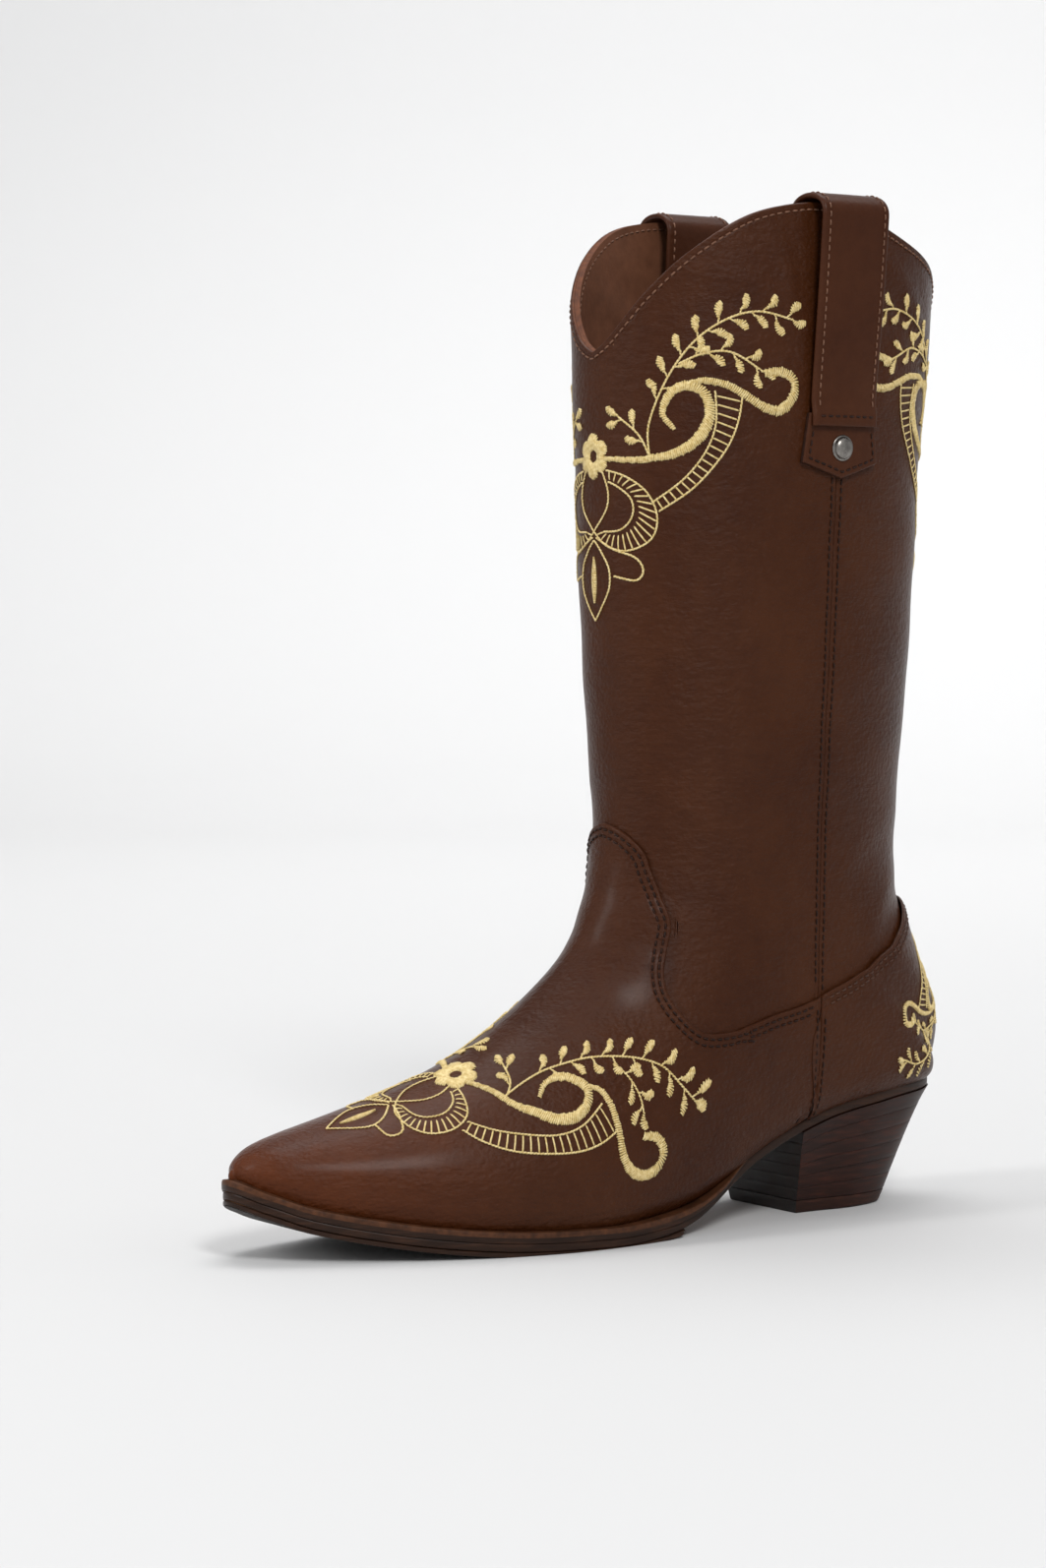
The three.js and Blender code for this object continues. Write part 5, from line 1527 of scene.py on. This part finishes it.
def vamp_motif(art):
    """The same scroll drawn longer for the vamp: Y runs back from the flower towards the shaft."""
    art.satin([(6, 0), (15, 5), (24, 9), (31, 15), (37, 21), (40, 28), (39, 34), (35, 37), (30, 35), (25, 30),
               (24, 23), (27, 19)], [1.8, 2.2, 2.6, 3.4, 4.2, 4.0, 3.4, 2.8, 1.6])
    art.satin([(34, 38), (39, 42), (46, 43), (54, 42), (61, 41), (68, 43), (73, 48), (74, 53), (71, 57),
               (65, 56), (61, 51)], [1.6, 2.4, 2.8, 3.0, 3.4, 3.8, 3.4, 2.4])
    art.ladder([(22, -9), (29, -2), (36, 8), (42, 19), (44, 29), (42, 40)],
               [(24, -12), (31, -7), (39, 2), (46, 14), (51, 25), (53, 34), (53, 42)])
    art.sprig([(20, 8), (19, 17), (20, 27), (25, 41), (31, 51), (39, 61), (48, 68), (58, 71), (66, 73)],
              first=16, length=4.8)
    art.sprig([(34, 51), (41, 54), (49, 55), (54, 54)], first=6, length=4.6)
    art.sprig([(20, 9), (16, 13), (9, 15)], first=4, length=4.6)
    art.ladder([(7, -7), (12, -9), (15, -14), (14, -20), (10, -24), (3, -25)],
               [(6, -4), (13, -5), (20, -8), (22.5, -15), (20, -23), (14, -28), (6, -29), (0, -25)], 2.8, 0.8)
    art.line([(4, -5), (6, -11), (5, -18), (0, -25)])
    art.line([(0, -28), (6, -34), (7, -41), (0, -53)])
    art.line([(1, -27), (10, -29), (15, -31), (14, -36), (7, -38)])
    art.sew_once(*sliver((0, -33), (0, -48), 2.8))
    art.flower()


def embroider(name, motif, chart, surface, frame=lambda x, y: (x, y), size=1.0):
    threads = Threads(name, gold)
    motif(Embroidery(threads, chart, surface, frame, size))
    threads.finish()


# The rings at which the flowers stand, the vamp motif's distance from the middle, and the heel motif's scale.
VAMP_FLOWER, SHAFT_FLOWER, BACK_FLOWER, HEEL_FLOWER = 6.02, 20.6, 21.07, 16.0
VAMP_SHIFT, HEEL_SIZE = 8, 0.66
embroider("embroidery_front", shaft_motif, Chart(0, SHAFT_FLOWER, 14, LAST_RING), on_form(SHAFT[0]))
embroider("embroidery_back", shaft_motif, Chart(1, BACK_FLOWER, 17, LAST_RING), on_form(SHAFT[0]))
embroider("embroidery_vamp", vamp_motif, Chart(0, VAMP_FLOWER, 0.3, 12), on_form(VAMP[0], True),
          lambda x, y: (x + VAMP_SHIFT, y))
embroider("embroidery_heel", lambda art: shaft_motif(art, False), HeelChart(HEEL_FLOWER),
          on_form(COUNTER[0], True), lambda x, y: (HEEL_SIZE * x, -HEEL_SIZE * y), HEEL_SIZE)


# ------------------------------------------------------------------ carried-over CAD nodes, room and light

CAD_MATERIALS = {
    board: ["toe_puff", "heel_stiffener", "shank_board", "insole_board"],
    cork: ["cork_filler"],
    steel: ["shank", *(f"heel_nail_{k}" for k in range(1, 6))],
    gunmetal: ["rivet_burr_lateral", "rivet_burr_medial"],
}
for material, nodes in CAD_MATERIALS.items():
    for node in nodes:
        mesh = bpy.data.objects[node].data
        mesh.materials.clear()
        mesh.materials.append(material)


def paper(near, far):
    """Paper with painted light: its colour grows paler between 2.6 m and 6.5 m from the boot, to make up for
    the lights that don't reach there.
    """
    look = Look("floor_paper")
    away = look.node("ShaderNodeVectorMath", feeds={0: look.where}, operation="LENGTH")
    pale = look.spread(away.outputs["Value"], 0, 1, 2.6, 6.5)
    return look.finish({"Base Color": look.ramp(pale, [(0, near), (1, far)])},
                       {"Roughness": 0.8, "Specular IOR Level": 0.2}, look.noise(900, 2, 0.5), 0.02)


SWEEP = {"azimuth": 55.7, "half_width": 9.0, "flat": 2.3, "radius": 0.9, "top": 3.4}  # metres and degrees


def add_floor():
    """A sweep: flat under the boot, and turning up far behind it."""
    azimuth, flat, radius = math.radians(SWEEP["azimuth"]), SWEEP["flat"], SWEEP["radius"]
    behind = np.array([-math.sin(azimuth), math.cos(azimuth)])
    beside = np.array([behind[1], -behind[0]])
    profile = [(-9.0, 0.0), (0.0, 0.0), (flat, 0.0)]
    profile += [(flat + radius * math.sin(angle), radius * (1 - math.cos(angle)))
                for angle in np.linspace(0.1, PI / 2, 16)]
    profile += [(flat + radius, SWEEP["top"])]
    points = [(*(behind * out + beside * side), z) for out, z in profile
              for side in (-SWEEP["half_width"], SWEEP["half_width"])]
    faces = [(2 * k, 2 * k + 1, 2 * k + 3, 2 * k + 2) for k in range(len(profile) - 1)]
    mesh = bpy.data.meshes.new("floor")
    mesh.from_pydata(points, [], faces)
    # The paler far colour is painted light that makes up for the lamps' falloff.
    mesh.materials.append(paper((207, 207, 207), (250, 250, 250)))
    mesh.shade_smooth()
    floor = bpy.data.objects.new("floor", mesh)
    bpy.context.scene.collection.objects.link(floor)
    return floor


def add_light(name, at, target, size, power, spread_angle=180):
    data = bpy.data.lights.new(name, "AREA")
    data.shape = "RECTANGLE"
    data.size, data.size_y = size
    data.energy = power
    data.spread = math.radians(spread_angle)
    light = bpy.data.objects.new(name, data)
    light.location = at
    light.rotation_euler = (Vector(target) - Vector(at)).to_track_quat("-Z", "Y").to_euler()
    bpy.context.scene.collection.objects.link(light)
    return light


add_floor()
add_light("key", (1.5, -0.5, 1.5), (0, 0, 0.18), (0.4, 0.6), 22)
add_light("front", (-0.3, -1.7, 1.2), (0, -0.05, 0.15), (0.3, 1.0), 14)
add_light("top", (-0.3, 0.1, 1.9), (0, 0, 0.2), (1.0, 1.0), 7)
add_light("sweep", (-0.6, 1.0, 2.7), (-1.5, 1.5, 0.2), (2.6, 1.6), 34, 130)
add_light("wall", (-0.9, 1.4, 2.7), (-2.2, 2.0, 0.4), (2.6, 1.6), 8, 85)
world = bpy.data.worlds.new("studio")
bpy.context.scene.world = world
world.use_nodes = True
background = world.node_tree.nodes["Background"].inputs
background["Color"].default_value = (0.98, 0.985, 1, 1)
background["Strength"].default_value = 0.46
bpy.context.scene.view_settings.view_transform = "Standard"
